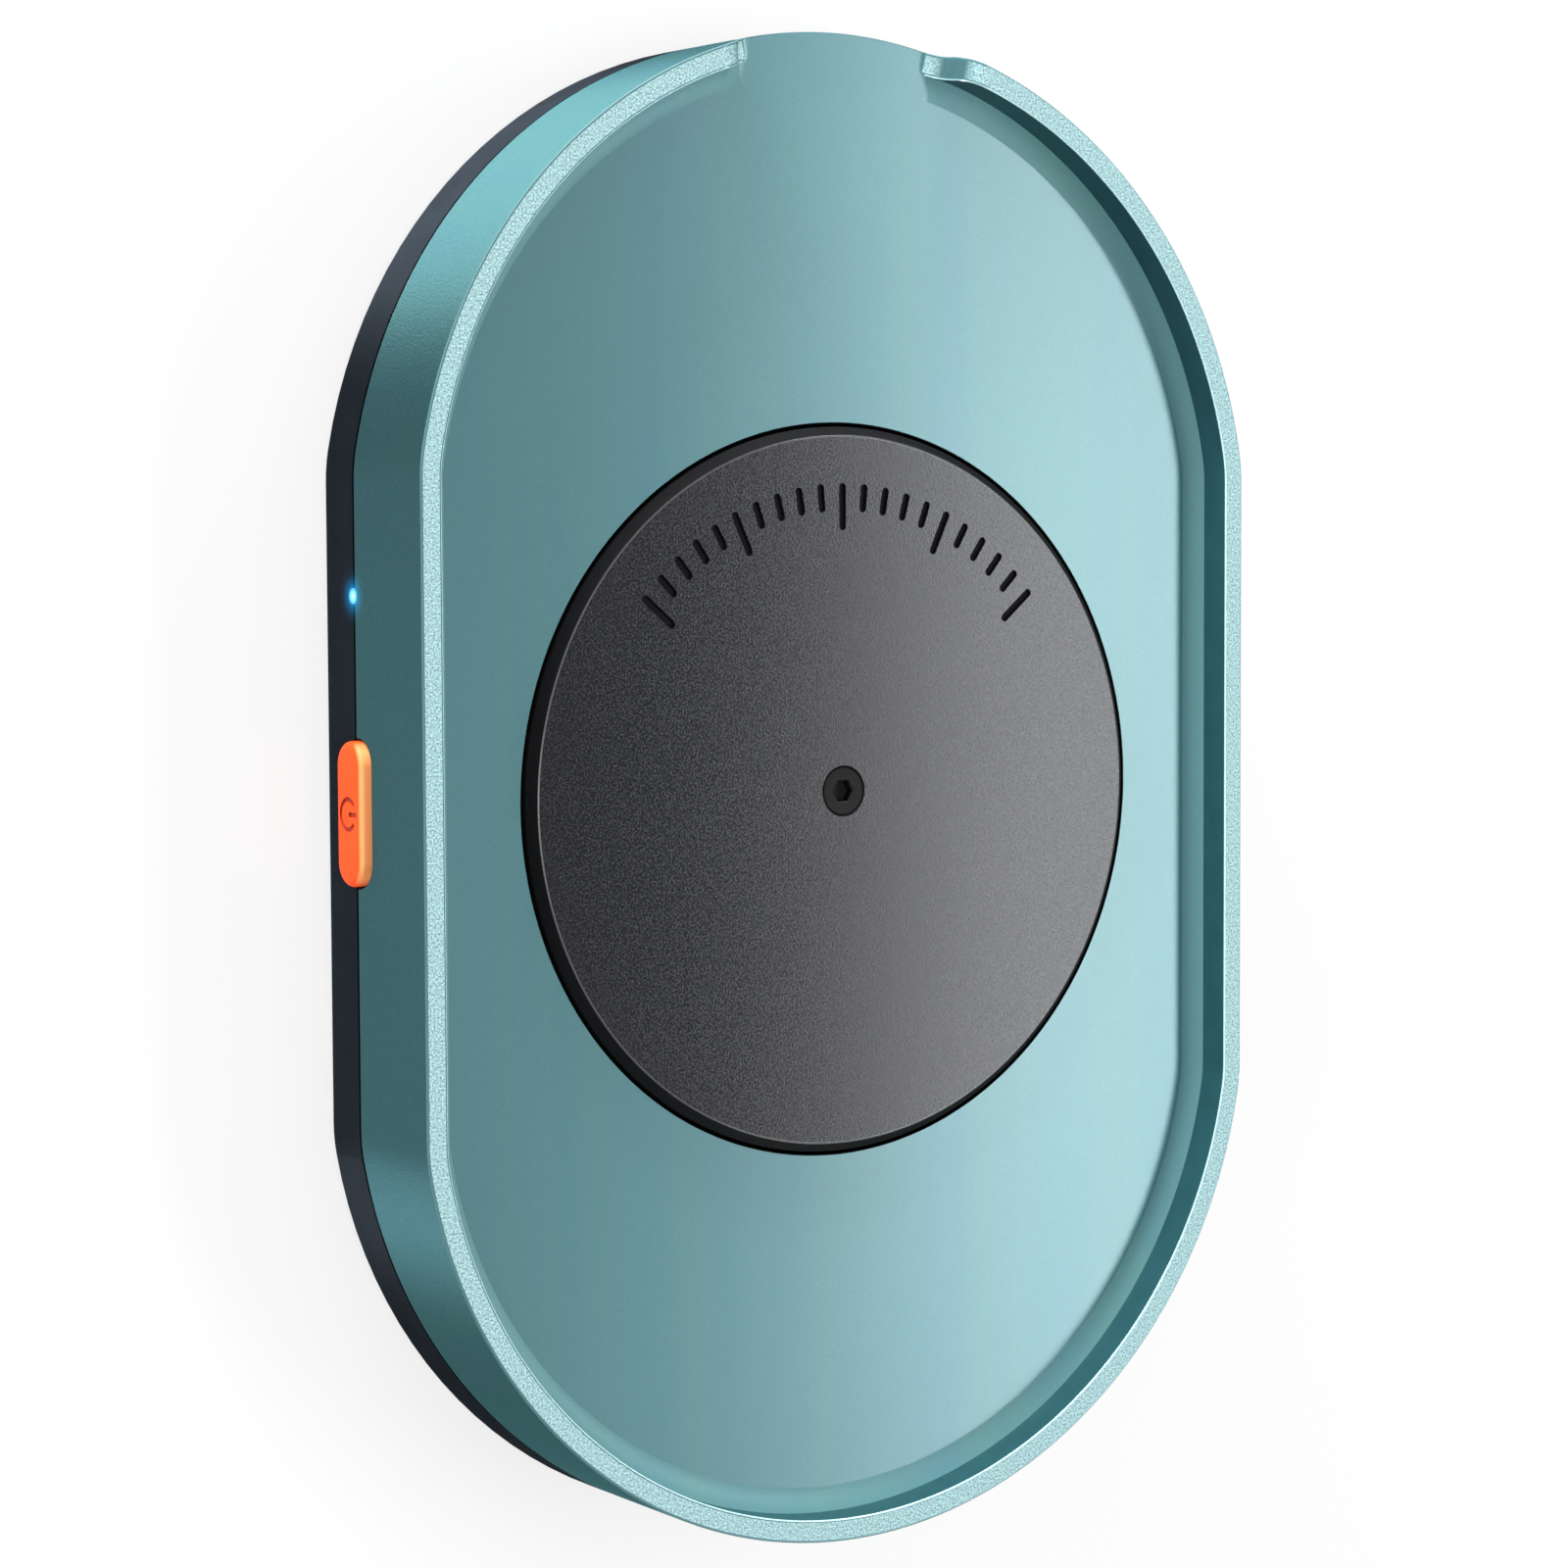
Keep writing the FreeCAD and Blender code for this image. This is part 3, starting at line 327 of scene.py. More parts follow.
def notch_height(x):
    """Rim's height above the deck, across the notch: two S-shaped ramps of two arcs each."""
    run = (notch_top_half - notch_floor_half) / 2
    rise = tray_depth / 2
    bend = (run ** 2 + rise ** 2) / (2 * rise)
    distance = abs(x)
    if distance >= notch_top_half:
        return tray_depth
    if distance <= notch_floor_half:
        return 0.0
    if distance < notch_floor_half + run:
        return bend - math.sqrt(bend ** 2 - (distance - notch_floor_half) ** 2)
    return tray_depth - bend + math.sqrt(bend ** 2 - (notch_top_half - distance) ** 2)


def notched(points, inset, z):
    """A loop of the shell at height z, lowered where the cable notch is."""
    loop = []
    for x, y in points:
        height = notch_height(x)
        if y < 0 or z <= deck_top - rim_edge or height == tray_depth:
            loop.append((x, y, z))
        elif inset < wall / 2:
            loop.append((x, y, z - tray_depth + height))
        else:
            loop.append((x, y, deck_top + max(0.0, z - deck_top) * height / tray_depth))
    return loop


def slot_cutter():
    """The button's opening through the side wall, with a small chamfer at its mouth."""
    loops = []
    sections = [
        (-width / 2 - 1, button_gap + button_mouth + 1),
        (-width / 2 + button_mouth, button_gap),
        (-width / 2 + wall_reach, button_gap),
    ]
    for x, grow in sections:
        loop = pill_loop(button_length + 2 * grow, button_height + 2 * grow)
        loops.append([(x, button_y + u, button_z + v) for u, v in loop])
    return loft(loops)


def pipe_cutter():
    """The light pipe's hole through the side wall."""
    loop = even_circle(pipe_radius, 32, (pipe_low.y + pipe_high.y) / 2, pipe_z)
    return loft([[(x, u, v) for u, v in loop] for x in (-width / 2 - 1, -width / 2 + wall_reach)])


def port_cutter():
    """The port's opening through the end wall."""
    loop = pill_loop(2 * port_half_width, 2 * port_half_height)
    ends = (length / 2 + 1, length / 2 - port_room)
    return loft([[(u, y, port_z + v) for u, v in loop] for y in ends])


def cove_profile():
    """The deck's soft rise to the foot of the tray's wall, as profile corners."""
    radius = cove_width / math.sin(cove_slope)
    corners = []
    for slope in steps(cove_slope, 0, 8):
        inset = wall + cove_width - radius * math.sin(slope)
        corners.append((inset, deck_top + radius * (1 - math.cos(slope)), 0))
    return corners


def shell_parts():
    """The shell's skin, all round in one closed profile, and its four screw bosses."""
    outer_profile = soften([
        (lip_room_inset, seam, edge_round),
        (seam_chamfer, seam, edge_round),
        (0.0, seam + seam_chamfer, edge_round),
        (0.0, rim_top - rim_edge, edge_round / 2),
        (rim_edge, rim_top, edge_round / 2),
        (rim_border, rim_top, 0),
        (wall - rim_border, rim_top, 0),
        (wall - rim_edge, rim_top, edge_round / 2),
        (wall, rim_top - rim_edge, edge_round / 2),
        *cove_profile(),
        (wall + deck_margin, deck_top, 0),
        (wall + deck_margin, ceiling, 0),
        (wall, ceiling, 0),
        (wall, seam + lip_room_height, 0),
        (lip_room_inset, seam + lip_room_height, 0),
    ])
    flat_start = len(outer_profile) - 5
    loops = [notched(outline(p.x), p.x, p.y) for p in outer_profile[:flat_start]]
    recess = [
        (recess_radius + recess_chamfer, deck_top),
        (recess_radius, deck_top - recess_chamfer),
        (recess_radius, recess_floor),
        (bush_seat_radius, recess_floor),
        (bush_seat_radius, recess_underside),
        (recess_radius + recess_skirt, recess_underside),
        (recess_radius + recess_skirt, ceiling),
    ]
    loops += [at_height(circle(radius), z) for radius, z in recess]
    loops += [at_height(outline(p.x), p.y) for p in outer_profile[flat_start + 2:]]
    parts = [loft(loops, closed=True)]
    for x, y in ((sx * boss_x, sy * boss_y) for sx in (-1, 1) for sy in (-1, 1)):
        profile = [(boss_radius, ceiling), (boss_radius, boss_bottom), (boss_bore, boss_bottom),
                   (boss_bore, ceiling)]
        parts.append(loft([at_height(even_circle(r, 40, x, y), z) for r, z in profile], closed=True))
    return parts


def wall_frame(x, y):
    """Distance inside the outline, and the outward direction there."""
    side = math.copysign(1, x)
    end = math.copysign(1, y)
    if abs(y) <= corner_y:
        return width / 2 - abs(x), Vector((side, 0, 0))
    spoke = Vector((x, y - end * end_y, 0))
    radius = end_radius
    if abs(spoke.y) * corner_x < abs(spoke.x) * (corner_y - end_y):
        spoke = Vector((x - side * corner_x, y - end * corner_y, 0))
        radius = corner_radius
    return radius - spoke.length, spoke.normalized()


# The shell's finishes, in the order of the materials that it is made with
PAINT, RIM, WALL, INNER_EDGE, RECESS, OUTER_EDGE, TRAY_WALL, COVE = range(8)


def shell_zone(centre, normal):
    """Which of the shell's finishes a face gets."""
    inset, outward = wall_frame(centre.x, centre.y)
    facing = normal.dot(outward)
    # Painted shade: the recess round the disc is near black
    if math.hypot(centre.x, centre.y) < recess_radius + 0.05 and centre.z < deck_top - 0.02:
        return RECESS
    across = min(inset, wall - inset)
    if across > -0.02 and centre.z > deck_top + 0.03 and normal.z > 0.05:
        # The rim's chamfers: the inner one pale, a painted highlight, the outer one dark, painted shade
        if across < rim_edge + 0.02:
            return OUTER_EDGE if inset < wall / 2 else INNER_EDGE
        return RIM if across > rim_border else PAINT
    beside_notch = centre.y < 0 or notch_height(centre.x) > 0.1
    # Painted light: the cove takes a paler teal than the deck
    if beside_notch and wall < inset < wall + cove_width and -0.01 < centre.z - deck_top < 0.6:
        return COVE
    if abs(facing) < 0.5 or inset > wall + 0.1:
        return PAINT
    # Painted shade: the tray's inner walls take a darker copy of the teal
    return TRAY_WALL if facing < 0 and centre.z > deck_top else WALL


def disc_parts():
    """The disc with its chamfered edge and the screw's countersunk hole."""
    count = 360
    hole = head_radius + hole_gap
    profile = soften([
        (disc_radius, disc_bottom, edge_round),
        (disc_radius, disc_top - disc_chamfer, 0.12),
        (disc_radius - disc_chamfer, disc_top, 0.2),
        (hole + hole_chamfer, disc_top, edge_round),
        (hole, disc_top - hole_chamfer, edge_round),
        (hole, disc_top - head_rim, 0),
        (shank_radius + hole_gap, disc_top - head_rim - head_radius + shank_radius, 0),
        (shank_radius + hole_gap, disc_bottom, 0),
    ])
    return [loft([at_height(even_circle(p.x, count), p.y) for p in profile], closed=True)]


def tick_cutters():
    """Engraved graduation: radial slots with round ends, longer at every fifth."""
    cutters = []
    for i in range(tick_count):
        tick_length = tick_short if i % tick_long_every else tick_long
        middle = tick_outer - tick_length / 2
        angle = tick_span / 2 - tick_span * i / (tick_count - 1)
        turn = Matrix.Rotation(angle, 3, "Z")
        loops = []
        for z, grow in ((disc_top - tick_depth, -0.03), (disc_top, 0.03), (disc_top + 1, 1)):
            loop = pill_loop(tick_length + 2 * grow, tick_width + 2 * grow, 8)
            loops.append([tuple(turn @ Vector((v, middle + u, z))) for u, v in loop])
        cutters.append(loft(loops))
    return cutters


def disc_zone(centre, normal):
    """0 for the blasted top, 1 for the smooth edge, 2 for engraved ticks, 3 for the painted highlight line
    along the edge.
    """
    from_axis = math.hypot(centre.x, centre.y)
    if abs(from_axis - disc_radius + disc_chamfer + 0.03) < 0.09 and 0.75 < normal.z < 0.999:
        return 3
    if from_axis > disc_radius - disc_chamfer - 0.05 or from_axis < head_radius + 0.15:
        return 1
    if centre.z < disc_top - 0.01 and centre.z > disc_top - tick_depth - 0.01:
        return 2
    return 0


def screw_parts():
    """Countersunk hex-socket screw, up to its shank's hidden end."""
    count = 96

    def hexagon(across):
        loop = []
        for i in range(count):
            angle = 2 * math.pi * i / count
            inside = angle % (math.pi / 3) - math.pi / 6
            radius = across / 2 / math.cos(inside)
            loop.append((radius * math.cos(angle), radius * math.sin(angle)))
        return loop

    top = screw_high.z
    cone_end = disc_top - head_rim - head_radius + shank_radius
    round_part = [
        (shank_radius, screw_low.z),
        (shank_radius, cone_end),
        (head_radius, disc_top - head_rim),
        (head_radius, top - 0.05),
        (head_radius - 0.02, top - 0.015),
        (head_radius - 0.06, top),
        (head_radius - 0.12, top),
    ]
    loops = [at_height(even_circle(radius, count), z) for radius, z in round_part]
    loops.append(at_height(hexagon(hex_across + 0.2), top))
    loops.append(at_height(hexagon(hex_across), top - 0.09))
    loops.append(at_height(hexagon(hex_across), top - hex_depth))
    loops.append(at_height(even_circle(0.05, count), top - hex_depth - 0.25))
    return [loft(loops)]


def button_parts():
    """Pill-shaped cap with a rounded edge, its flange and its stem."""
    flange_x = -width / 2 + wall + 0.05
    flange_end = flange_x + flange_thickness
    flange_length = button_length + 2 * flange_overlap
    flange_height = button_height + 2 * flange_overlap
    sections = []
    for turn in steps(math.pi / 2, 0, 8):
        x = button_face + button_round * (1 - math.sin(turn))
        shrink = button_round * (1 - math.cos(turn))
        sections.append((x, button_length - 2 * shrink, button_height - 2 * shrink))
    sections += [
        (button_face + button_round + 0.15, button_length, button_height),
        (flange_x, button_length, button_height),
        (flange_x, flange_length, flange_height),
        (flange_end, flange_length, flange_height),
        (flange_end, 2 * stem_radius, 2 * stem_radius),
        (button_high.x, 2 * stem_radius, 2 * stem_radius),
    ]
    loops = []
    for x, long_size, short_size in sections:
        loops.append([(x, button_y + u, button_z + v) for u, v in pill_loop(long_size, short_size)])
    return [loft(loops)]


def mark_cutters():
    """Standby mark: a ring open at the top, with a bar in the opening."""
    inner, outer = mark_radius - mark_line / 2, mark_radius + mark_line / 2
    start = math.pi / 2 + mark_opening / 2
    angles = steps(start, start + 2 * math.pi - mark_opening, 48)
    sides = []
    for x in (button_face - 0.5, button_face + mark_depth):
        outside = [(x, button_y - outer * math.cos(a), button_z + outer * math.sin(a)) for a in angles]
        inside = [(x, button_y - inner * math.cos(a), button_z + inner * math.sin(a)) for a in angles]
        sides.append(outside + inside[::-1])
    half = mark_line / 2
    bar = []
    for x in (button_face - 0.5, button_face + mark_depth):
        low, high = button_z + 0.1, button_z + outer
        bar.append([(x, button_y - half, low), (x, button_y + half, low),
                    (x, button_y + half, high), (x, button_y - half, high)])
    return [loft(sides), loft(bar)]


def button_zone(centre, normal):
    """1 for the faces of the sunk mark, 0 for the rest of the cap."""
    near = math.hypot(centre.y - button_y, centre.z - button_z) < mark_radius + mark_line
    sunk = button_face + 0.01 < centre.x < button_face + mark_depth + 0.01
    return 1 if near and sunk else 0


def foot_parts():
    """Four round feet, each with a shallow groove in its underside."""
    parts = []
    top = feet_high.z
    profile = soften([
        (foot_core, top, 0),
        (foot_radius, top, 0.04),
        (foot_radius, 0.0, foot_round),
        (groove_outer, 0.0, groove_edge),
        (groove_outer - groove_slope, groove_depth, groove_edge),
        (groove_inner + groove_slope, groove_depth, groove_edge),
        (groove_inner, 0.0, groove_edge),
        (foot_core, 0.0, 0),
    ])
    for x, y in ((sx * foot_x, sy * foot_y) for sx in (-1, 1) for sy in (-1, 1)):
        parts.append(loft([at_height(even_circle(p.x, 96, x, y), p.y) for p in profile]))
    return parts


# ---------------------------------------------------------------- materials


class Finish:
    """A node material: a Principled shader with a few procedural layers on it."""

    def __init__(self, name, colour, metallic=0.0, roughness=0.5, specular=0.5):
        self.material = bpy.data.materials.new(name)
        self.material.use_nodes = True
        self.tree = self.material.node_tree
        self.nodes = self.tree.nodes
        self.shader = self.nodes["Principled BSDF"]
        self.set("Base Color", (*colour, 1))
        self.set("Metallic", metallic)
        self.set("Roughness", roughness)
        self.set("Specular IOR Level", specular)
        self.place = self.nodes.new("ShaderNodeTexCoord").outputs["Object"]
        self.bump_end = None

    def set(self, socket, value):
        self.shader.inputs[socket].default_value = value

    def link(self, output, target):
        self.tree.links.new(output, target)

    def noise(self, size, detail=2.0, stretch=(1, 1, 1)):
        """Noise from 0 to 1 whose features are about size millimetres, longer along stretch."""
        mapping = self.nodes.new("ShaderNodeMapping")
        mapping.inputs["Scale"].default_value = [1 / (size * MM * s) for s in stretch]
        self.link(self.place, mapping.inputs["Vector"])
        texture = self.nodes.new("ShaderNodeTexNoise")
        texture.inputs["Scale"].default_value = 1.0
        texture.inputs["Detail"].default_value = detail
        self.link(mapping.outputs["Vector"], texture.inputs["Vector"])
        return texture.outputs["Fac"]

    def spread(self, value, low, high, start=0.3, end=0.7):
        """The value's range start to end, spread over low to high."""
        node = self.nodes.new("ShaderNodeMapRange")
        self.link(value, node.inputs["Value"])
        for socket, number in zip(("From Min", "From Max", "To Min", "To Max"), (start, end, low, high)):
            node.inputs[socket].default_value = number
        return node.outputs["Result"]

    def tint(self, value, colours, start=0.3, end=0.7):
        """Base colour that runs through colours as the value rises."""
        ramp = self.nodes.new("ShaderNodeValToRGB")
        elements = ramp.color_ramp.elements
        while len(elements) < len(colours):
            elements.new(0.5)
        for i, colour in enumerate(colours):
            elements[i].position = start + (end - start) * i / (len(colours) - 1)
            elements[i].color = (*colour, 1)
        self.link(value, ramp.inputs["Fac"])
        return ramp.outputs["Color"]

    def mix(self, factor, a, b, blend="MIX"):
        """Two colours blended. Each value is a number, a colour or another node's output."""
        node = self.nodes.new("ShaderNodeMix")
        node.data_type = "RGBA"
        node.blend_type = blend
        for socket, value in zip((node.inputs[0], node.inputs[6], node.inputs[7]), (factor, a, b)):
            if isinstance(value, bpy.types.NodeSocket):
                self.link(value, socket)
            else:
                socket.default_value = value
        return node.outputs[2]

    def base(self, output):
        self.link(output, self.shader.inputs["Base Color"])

    def rough(self, output):
        self.link(output, self.shader.inputs["Roughness"])

    def brushed_upright(self, anisotropy):
        """Stretch the gloss up and down the walls, across lines that run round the upright axis."""
        self.set("Anisotropic", anisotropy)
        self.set("Anisotropic Rotation", 0.25)
        tangent = self.nodes.new("ShaderNodeTangent")
        tangent.direction_type = "RADIAL"
        tangent.axis = "Z"
        self.link(tangent.outputs["Tangent"], self.shader.inputs["Tangent"])

    def upright(self, vector):
        """A vector's upright component."""
        split = self.nodes.new("ShaderNodeSeparateXYZ")
        self.link(vector, split.inputs["Vector"])
        return split.outputs["Z"]

    def upward(self):
        """How far the surface faces up: 1 where it is level."""
        return self.upright(self.nodes["Texture Coordinate"].outputs["Normal"])

    def from_light(self):
        """Distance from the middle of the light pipe's face, in metres."""
        distance = self.nodes.new("ShaderNodeVectorMath")
        distance.operation = "DISTANCE"
        self.link(self.place, distance.inputs[0])
        middle = Vector((-width / 2, (pipe_low.y + pipe_high.y) / 2, pipe_z)) * MM
        distance.inputs[1].default_value = middle
        return distance.outputs["Value"]

    def painted_glow_near_light(self):
        """Painted light: a blue glow that the surface itself emits around the light pipe, in place of the
        pipe's spill.
        """
        fade = self.spread(self.from_light(), 0.0, 1.0, 0.0004, 0.0022)
        colours = [(0.0, 0.30, 0.62), (0.0, 0.075, 0.17), (0.0, 0.012, 0.03), (0.0, 0.0, 0.0)]
        self.link(self.tint(fade, colours, 0.0, 1.0), self.shader.inputs["Emission Color"])
        self.set("Emission Strength", 1.0)

    def bump(self, value, depth):
        """Relief of that depth in millimetres. Later calls add to earlier ones."""
        node = self.nodes.new("ShaderNodeBump")
        node.inputs["Strength"].default_value = 1.0
        node.inputs["Distance"].default_value = depth * MM
        self.link(value, node.inputs["Height"])
        if self.bump_end:
            self.link(self.bump_end, node.inputs["Normal"])
        self.bump_end = node.outputs["Normal"]
        self.link(self.bump_end, self.shader.inputs["Normal"])


def shade(colour, factor):
    return tuple(min(1.0, c * factor) for c in colour)


def plain_finish(name, colour, metallic=0.0, roughness=0.5, specular=0.5, grain=0.15, depth=0.004,
                 variation=0.08, stretch=(1, 1, 1)):
    """A plain surface's material: mottled tone, uneven gloss and a fine relief."""
    finish = Finish(name, colour, metallic, roughness, specular)
    cloud = finish.noise(2.5, 3.0, stretch)
    fine = finish.noise(grain, 2.0, stretch)
    tones = [shade(colour, 1 - variation), colour, shade(colour, 1 + variation)]
    finish.base(finish.tint(cloud, tones))
    finish.rough(finish.spread(fine, roughness * 0.88, min(1.0, roughness * 1.12)))
    finish.bump(fine, depth)
    return finish.material


teal = (0.049, 0.155, 0.176)
teal_wall = (0.049, 0.117, 0.129)
teal_pale = (0.33, 0.52, 0.54)


def paint_finish(name, colour, metallic, middle, coat, grain_depth, sparkle, anisotropy=0.0):
    """Satin metallic teal: soft bands along the length, and a fine grain under a clear coat.

    The walls are given an anisotropy, which also turns on the painted glow of the status light's spill."""
    finish = Finish(name, colour, metallic, middle, 0.2)
    red, green, blue = colour
    bluish, greenish = (red * 0.96, green * 0.97, blue * 1.03), (red * 1.03, green * 1.02, blue * 0.97)
    bands = finish.noise(7.0, 1.0, (1, 25, 8))
    tone = finish.tint(bands, [bluish, colour, greenish, colour, bluish], 0.28, 0.72)
    flakes = finish.noise(0.15, 1.0)
    speck = finish.tint(flakes, [(1 - sparkle,) * 3, (1, 1, 1), (1 + sparkle,) * 3], 0.3, 0.7)
    finish.base(finish.mix(1.0, tone, speck, "MULTIPLY"))
    spread = 0.03
    finish.rough(finish.spread(finish.noise(0.2, 2.0), middle - spread, middle + spread))
    finish.bump(finish.noise(0.18, 2.0), grain_depth)
    finish.set("Coat Weight", coat)
    finish.set("Coat Roughness", middle)
    if anisotropy:
        finish.set("Specular Tint", (0.35, 0.6, 0.62, 1))
        finish.brushed_upright(anisotropy)
        # Painted light: the wall emits the status light's blue spill near the pipe
        finish.painted_glow_near_light()
    return finish.material


def rim_finish():
    """The rim's blasted top: pale, with coarse bright and dark specks, and painted shade where it dips: the
    wall's darker teal on the steep ramps.
    """
    finish = Finish("teal_rim", teal_pale, 0.0, 0.45, 0.1)
    specks = finish.noise(0.16, 2.0)
    tones = [shade(teal_pale, 0.5), shade(teal_pale, 0.95), shade(teal_pale, 1.4)]
    # Painted shade: the steeper the face, the more it takes the wall's darker teal
    level = finish.spread(finish.upward(), 0.0, 1.0, 0.62, 0.97)
    ramp_painted_shade = (*teal_wall, 1)
    finish.base(finish.mix(level, ramp_painted_shade, finish.tint(specks, tones, 0.34, 0.66)))
    finish.rough(finish.spread(finish.noise(0.3, 2.0), 0.35, 0.55))
    finish.bump(specks, 0.02)
    return finish.material


def disc_finish():
    """Dark grey moulding with a blasted grain that runs a little along the length."""
    grey = (0.0036, 0.0039, 0.0049)
    finish = Finish("disc_blasted", grey, 0.0, 0.16, 0.21)
    grain = finish.noise(0.14, 2.0, (1, 1.3, 1))
    cloud = finish.noise(9.0, 2.0)
    tone = finish.tint(grain, [shade(grey, 0.3), grey, shade(grey, 4.0)], 0.32, 0.68)
    finish.base(finish.mix(1.0, tone, finish.tint(cloud, [(0.93,) * 3, (1.05,) * 3]), "MULTIPLY"))
    finish.rough(finish.spread(grain, 0.10, 0.21))
    finish.bump(grain, 0.007)
    finish.set("Specular Tint", (0.94, 0.96, 1.0, 1))
    return finish.material


def base_finish():
    """Near-black metallic navy, with painted shade: a black line in the seam under the shell."""
    navy = (0.019, 0.024, 0.030)
    finish = Finish("navy_coat", navy, 0.9, 0.5, 0.1)
    cloud = finish.noise(3.0, 2.0)
    tone = finish.tint(cloud, [shade(navy, 0.92), navy, shade(navy, 1.08)])
    # Painted shade: black just below the seam, where the gap would be in shadow
    painted_seam_shade = finish.spread(finish.upright(finish.place), 0.0, 1.0, (seam - 0.16) * MM, (seam - 0.12) * MM)
    finish.base(finish.mix(painted_seam_shade, tone, (0.001, 0.001, 0.001, 1)))
    grain = finish.noise(0.16, 2.0)
    finish.rough(finish.spread(grain, 0.46, 0.56))
    finish.bump(grain, 0.005)
    finish.set("Specular Tint", (0.1, 0.1, 0.12, 1))
    finish.brushed_upright(0.95)
    # Painted light: the base emits the status light's blue spill near the pipe
    finish.painted_glow_near_light()
    return finish.material


def orange_painted_highlight_finish():
    """Semi-gloss orange, with a painted highlight: lighter along the edge that faces up."""
    orange = (0.88, 0.060, 0.005)
    finish = Finish("orange_cap", orange, 0.0, 0.42, 0.1)
    cloud = finish.noise(1.6, 2.0)
    tone = finish.tint(cloud, [shade(orange, 0.95), orange, shade(orange, 1.05)])
    # Painted highlight: the more a face points up, the paler its orange
    upward = finish.spread(finish.upward(), 0.0, 1.0, 0.25, 0.8)
    finish.base(finish.mix(upward, tone, (1.0, 0.34, 0.12, 1)))
    fine = finish.noise(0.1, 2.0)
    finish.rough(finish.spread(fine, 0.38, 0.48))
    finish.bump(fine, 0.003)
    finish.set("Coat Weight", 0.06)
    finish.set("Coat Roughness", 0.3)
    return finish.material


def light_finish():
    """Clear pipe, lit from behind: white at its middle and blue towards its edge."""
    finish = Finish("lit_pipe", (0.05, 0.2, 0.4), 0.0, 0.15, 0.5)
    fade = finish.spread(finish.from_light(), 0.0, 1.0, 0.0, 0.0006)
    colours = [(0.85, 1.0, 1.0), (0.25, 0.9, 1.0), (0.02, 0.42, 0.85), (0.0, 0.16, 0.45)]
    finish.link(finish.tint(fade, colours, 0.1, 1.0), finish.shader.inputs["Emission Color"])
    finish.set("Emission Strength", 1.1)
    finish.rough(finish.spread(finish.noise(0.1), 0.1, 0.2))
    finish.bump(finish.noise(0.2), 0.002)
    return finish.material


paint = paint_finish("teal_paint", teal, 0.12, 0.21, 0.22, 0.002, 0.05)
wall_paint = paint_finish("teal_wall", teal_wall, 1.0, 0.53, 0.0, 0.02, 0.12, 0.95)
# Painted highlight: a pale copy of the teal on the rim's inner chamfer
inner_edge_painted_highlight = plain_finish("teal_inner_edge", (0.42, 0.62, 0.64), 0.3, 0.25, 0.5, 0.2, 0.001, 0.03)
# Painted shade: a dark copy of the teal on the rim's outer chamfer
outer_edge_painted_shade = plain_finish("teal_outer_edge", (0.07, 0.15, 0.16), 0.0, 0.4, 0.15, 0.2, 0.001, 0.03)
# Painted shade: a darker copy of the teal for the tray's inner walls
tray_wall_painted_shade = plain_finish("teal_tray_wall", (0.015, 0.060, 0.070), 0.1, 0.4, 0.1, 0.15, 0.003)
# Painted light: paler and rougher than the deck, lifting the shadow band at the wall's foot
cove_painted_light = paint_finish("teal_cove", (0.085, 0.210, 0.225), 0.1, 0.42, 0.0, 0.002, 0.05)
rim_blasted = rim_finish()
disc_blasted = disc_finish()
# Painted shade: near black for the recess, which lies in shadow round the disc
recess_painted_shade = plain_finish("recess_painted_shade", (0.0025, 0.0027, 0.0033), 0.0, 0.5, 0.0, 0.2, 0.003)
disc_edge = plain_finish("disc_edge", (0.0065, 0.0068, 0.0075), 0.0, 0.5, 0.03, 0.2, 0.003)
# Painted highlight: a lighter, glossier ring where the disc's chamfer meets its top
disc_painted_highlight_line = plain_finish("disc_painted_highlight_line", (0.012, 0.013, 0.015), 0.0, 0.3, 0.8, 0.2, 0.003)
tick_ink = plain_finish("tick_ink", (0.003, 0.003, 0.004), 0.0, 0.6, 0.05, 0.1, 0.004)
screw_black = plain_finish("screw_black", (0.006, 0.0065, 0.0065), 0.0, 0.5, 0.08, 0.12, 0.004, 0.2)
orange = orange_painted_highlight_finish()
mark_ink = plain_finish("mark_ink", (0.34, 0.03, 0.012), 0.0, 0.5, 0.2, 0.1, 0.004, 0.1)
rubber = plain_finish("foot_rubber", (0.018, 0.018, 0.018), 0.0, 0.75, 0.3, 0.12, 0.01, 0.15)
lit_pipe = light_finish()

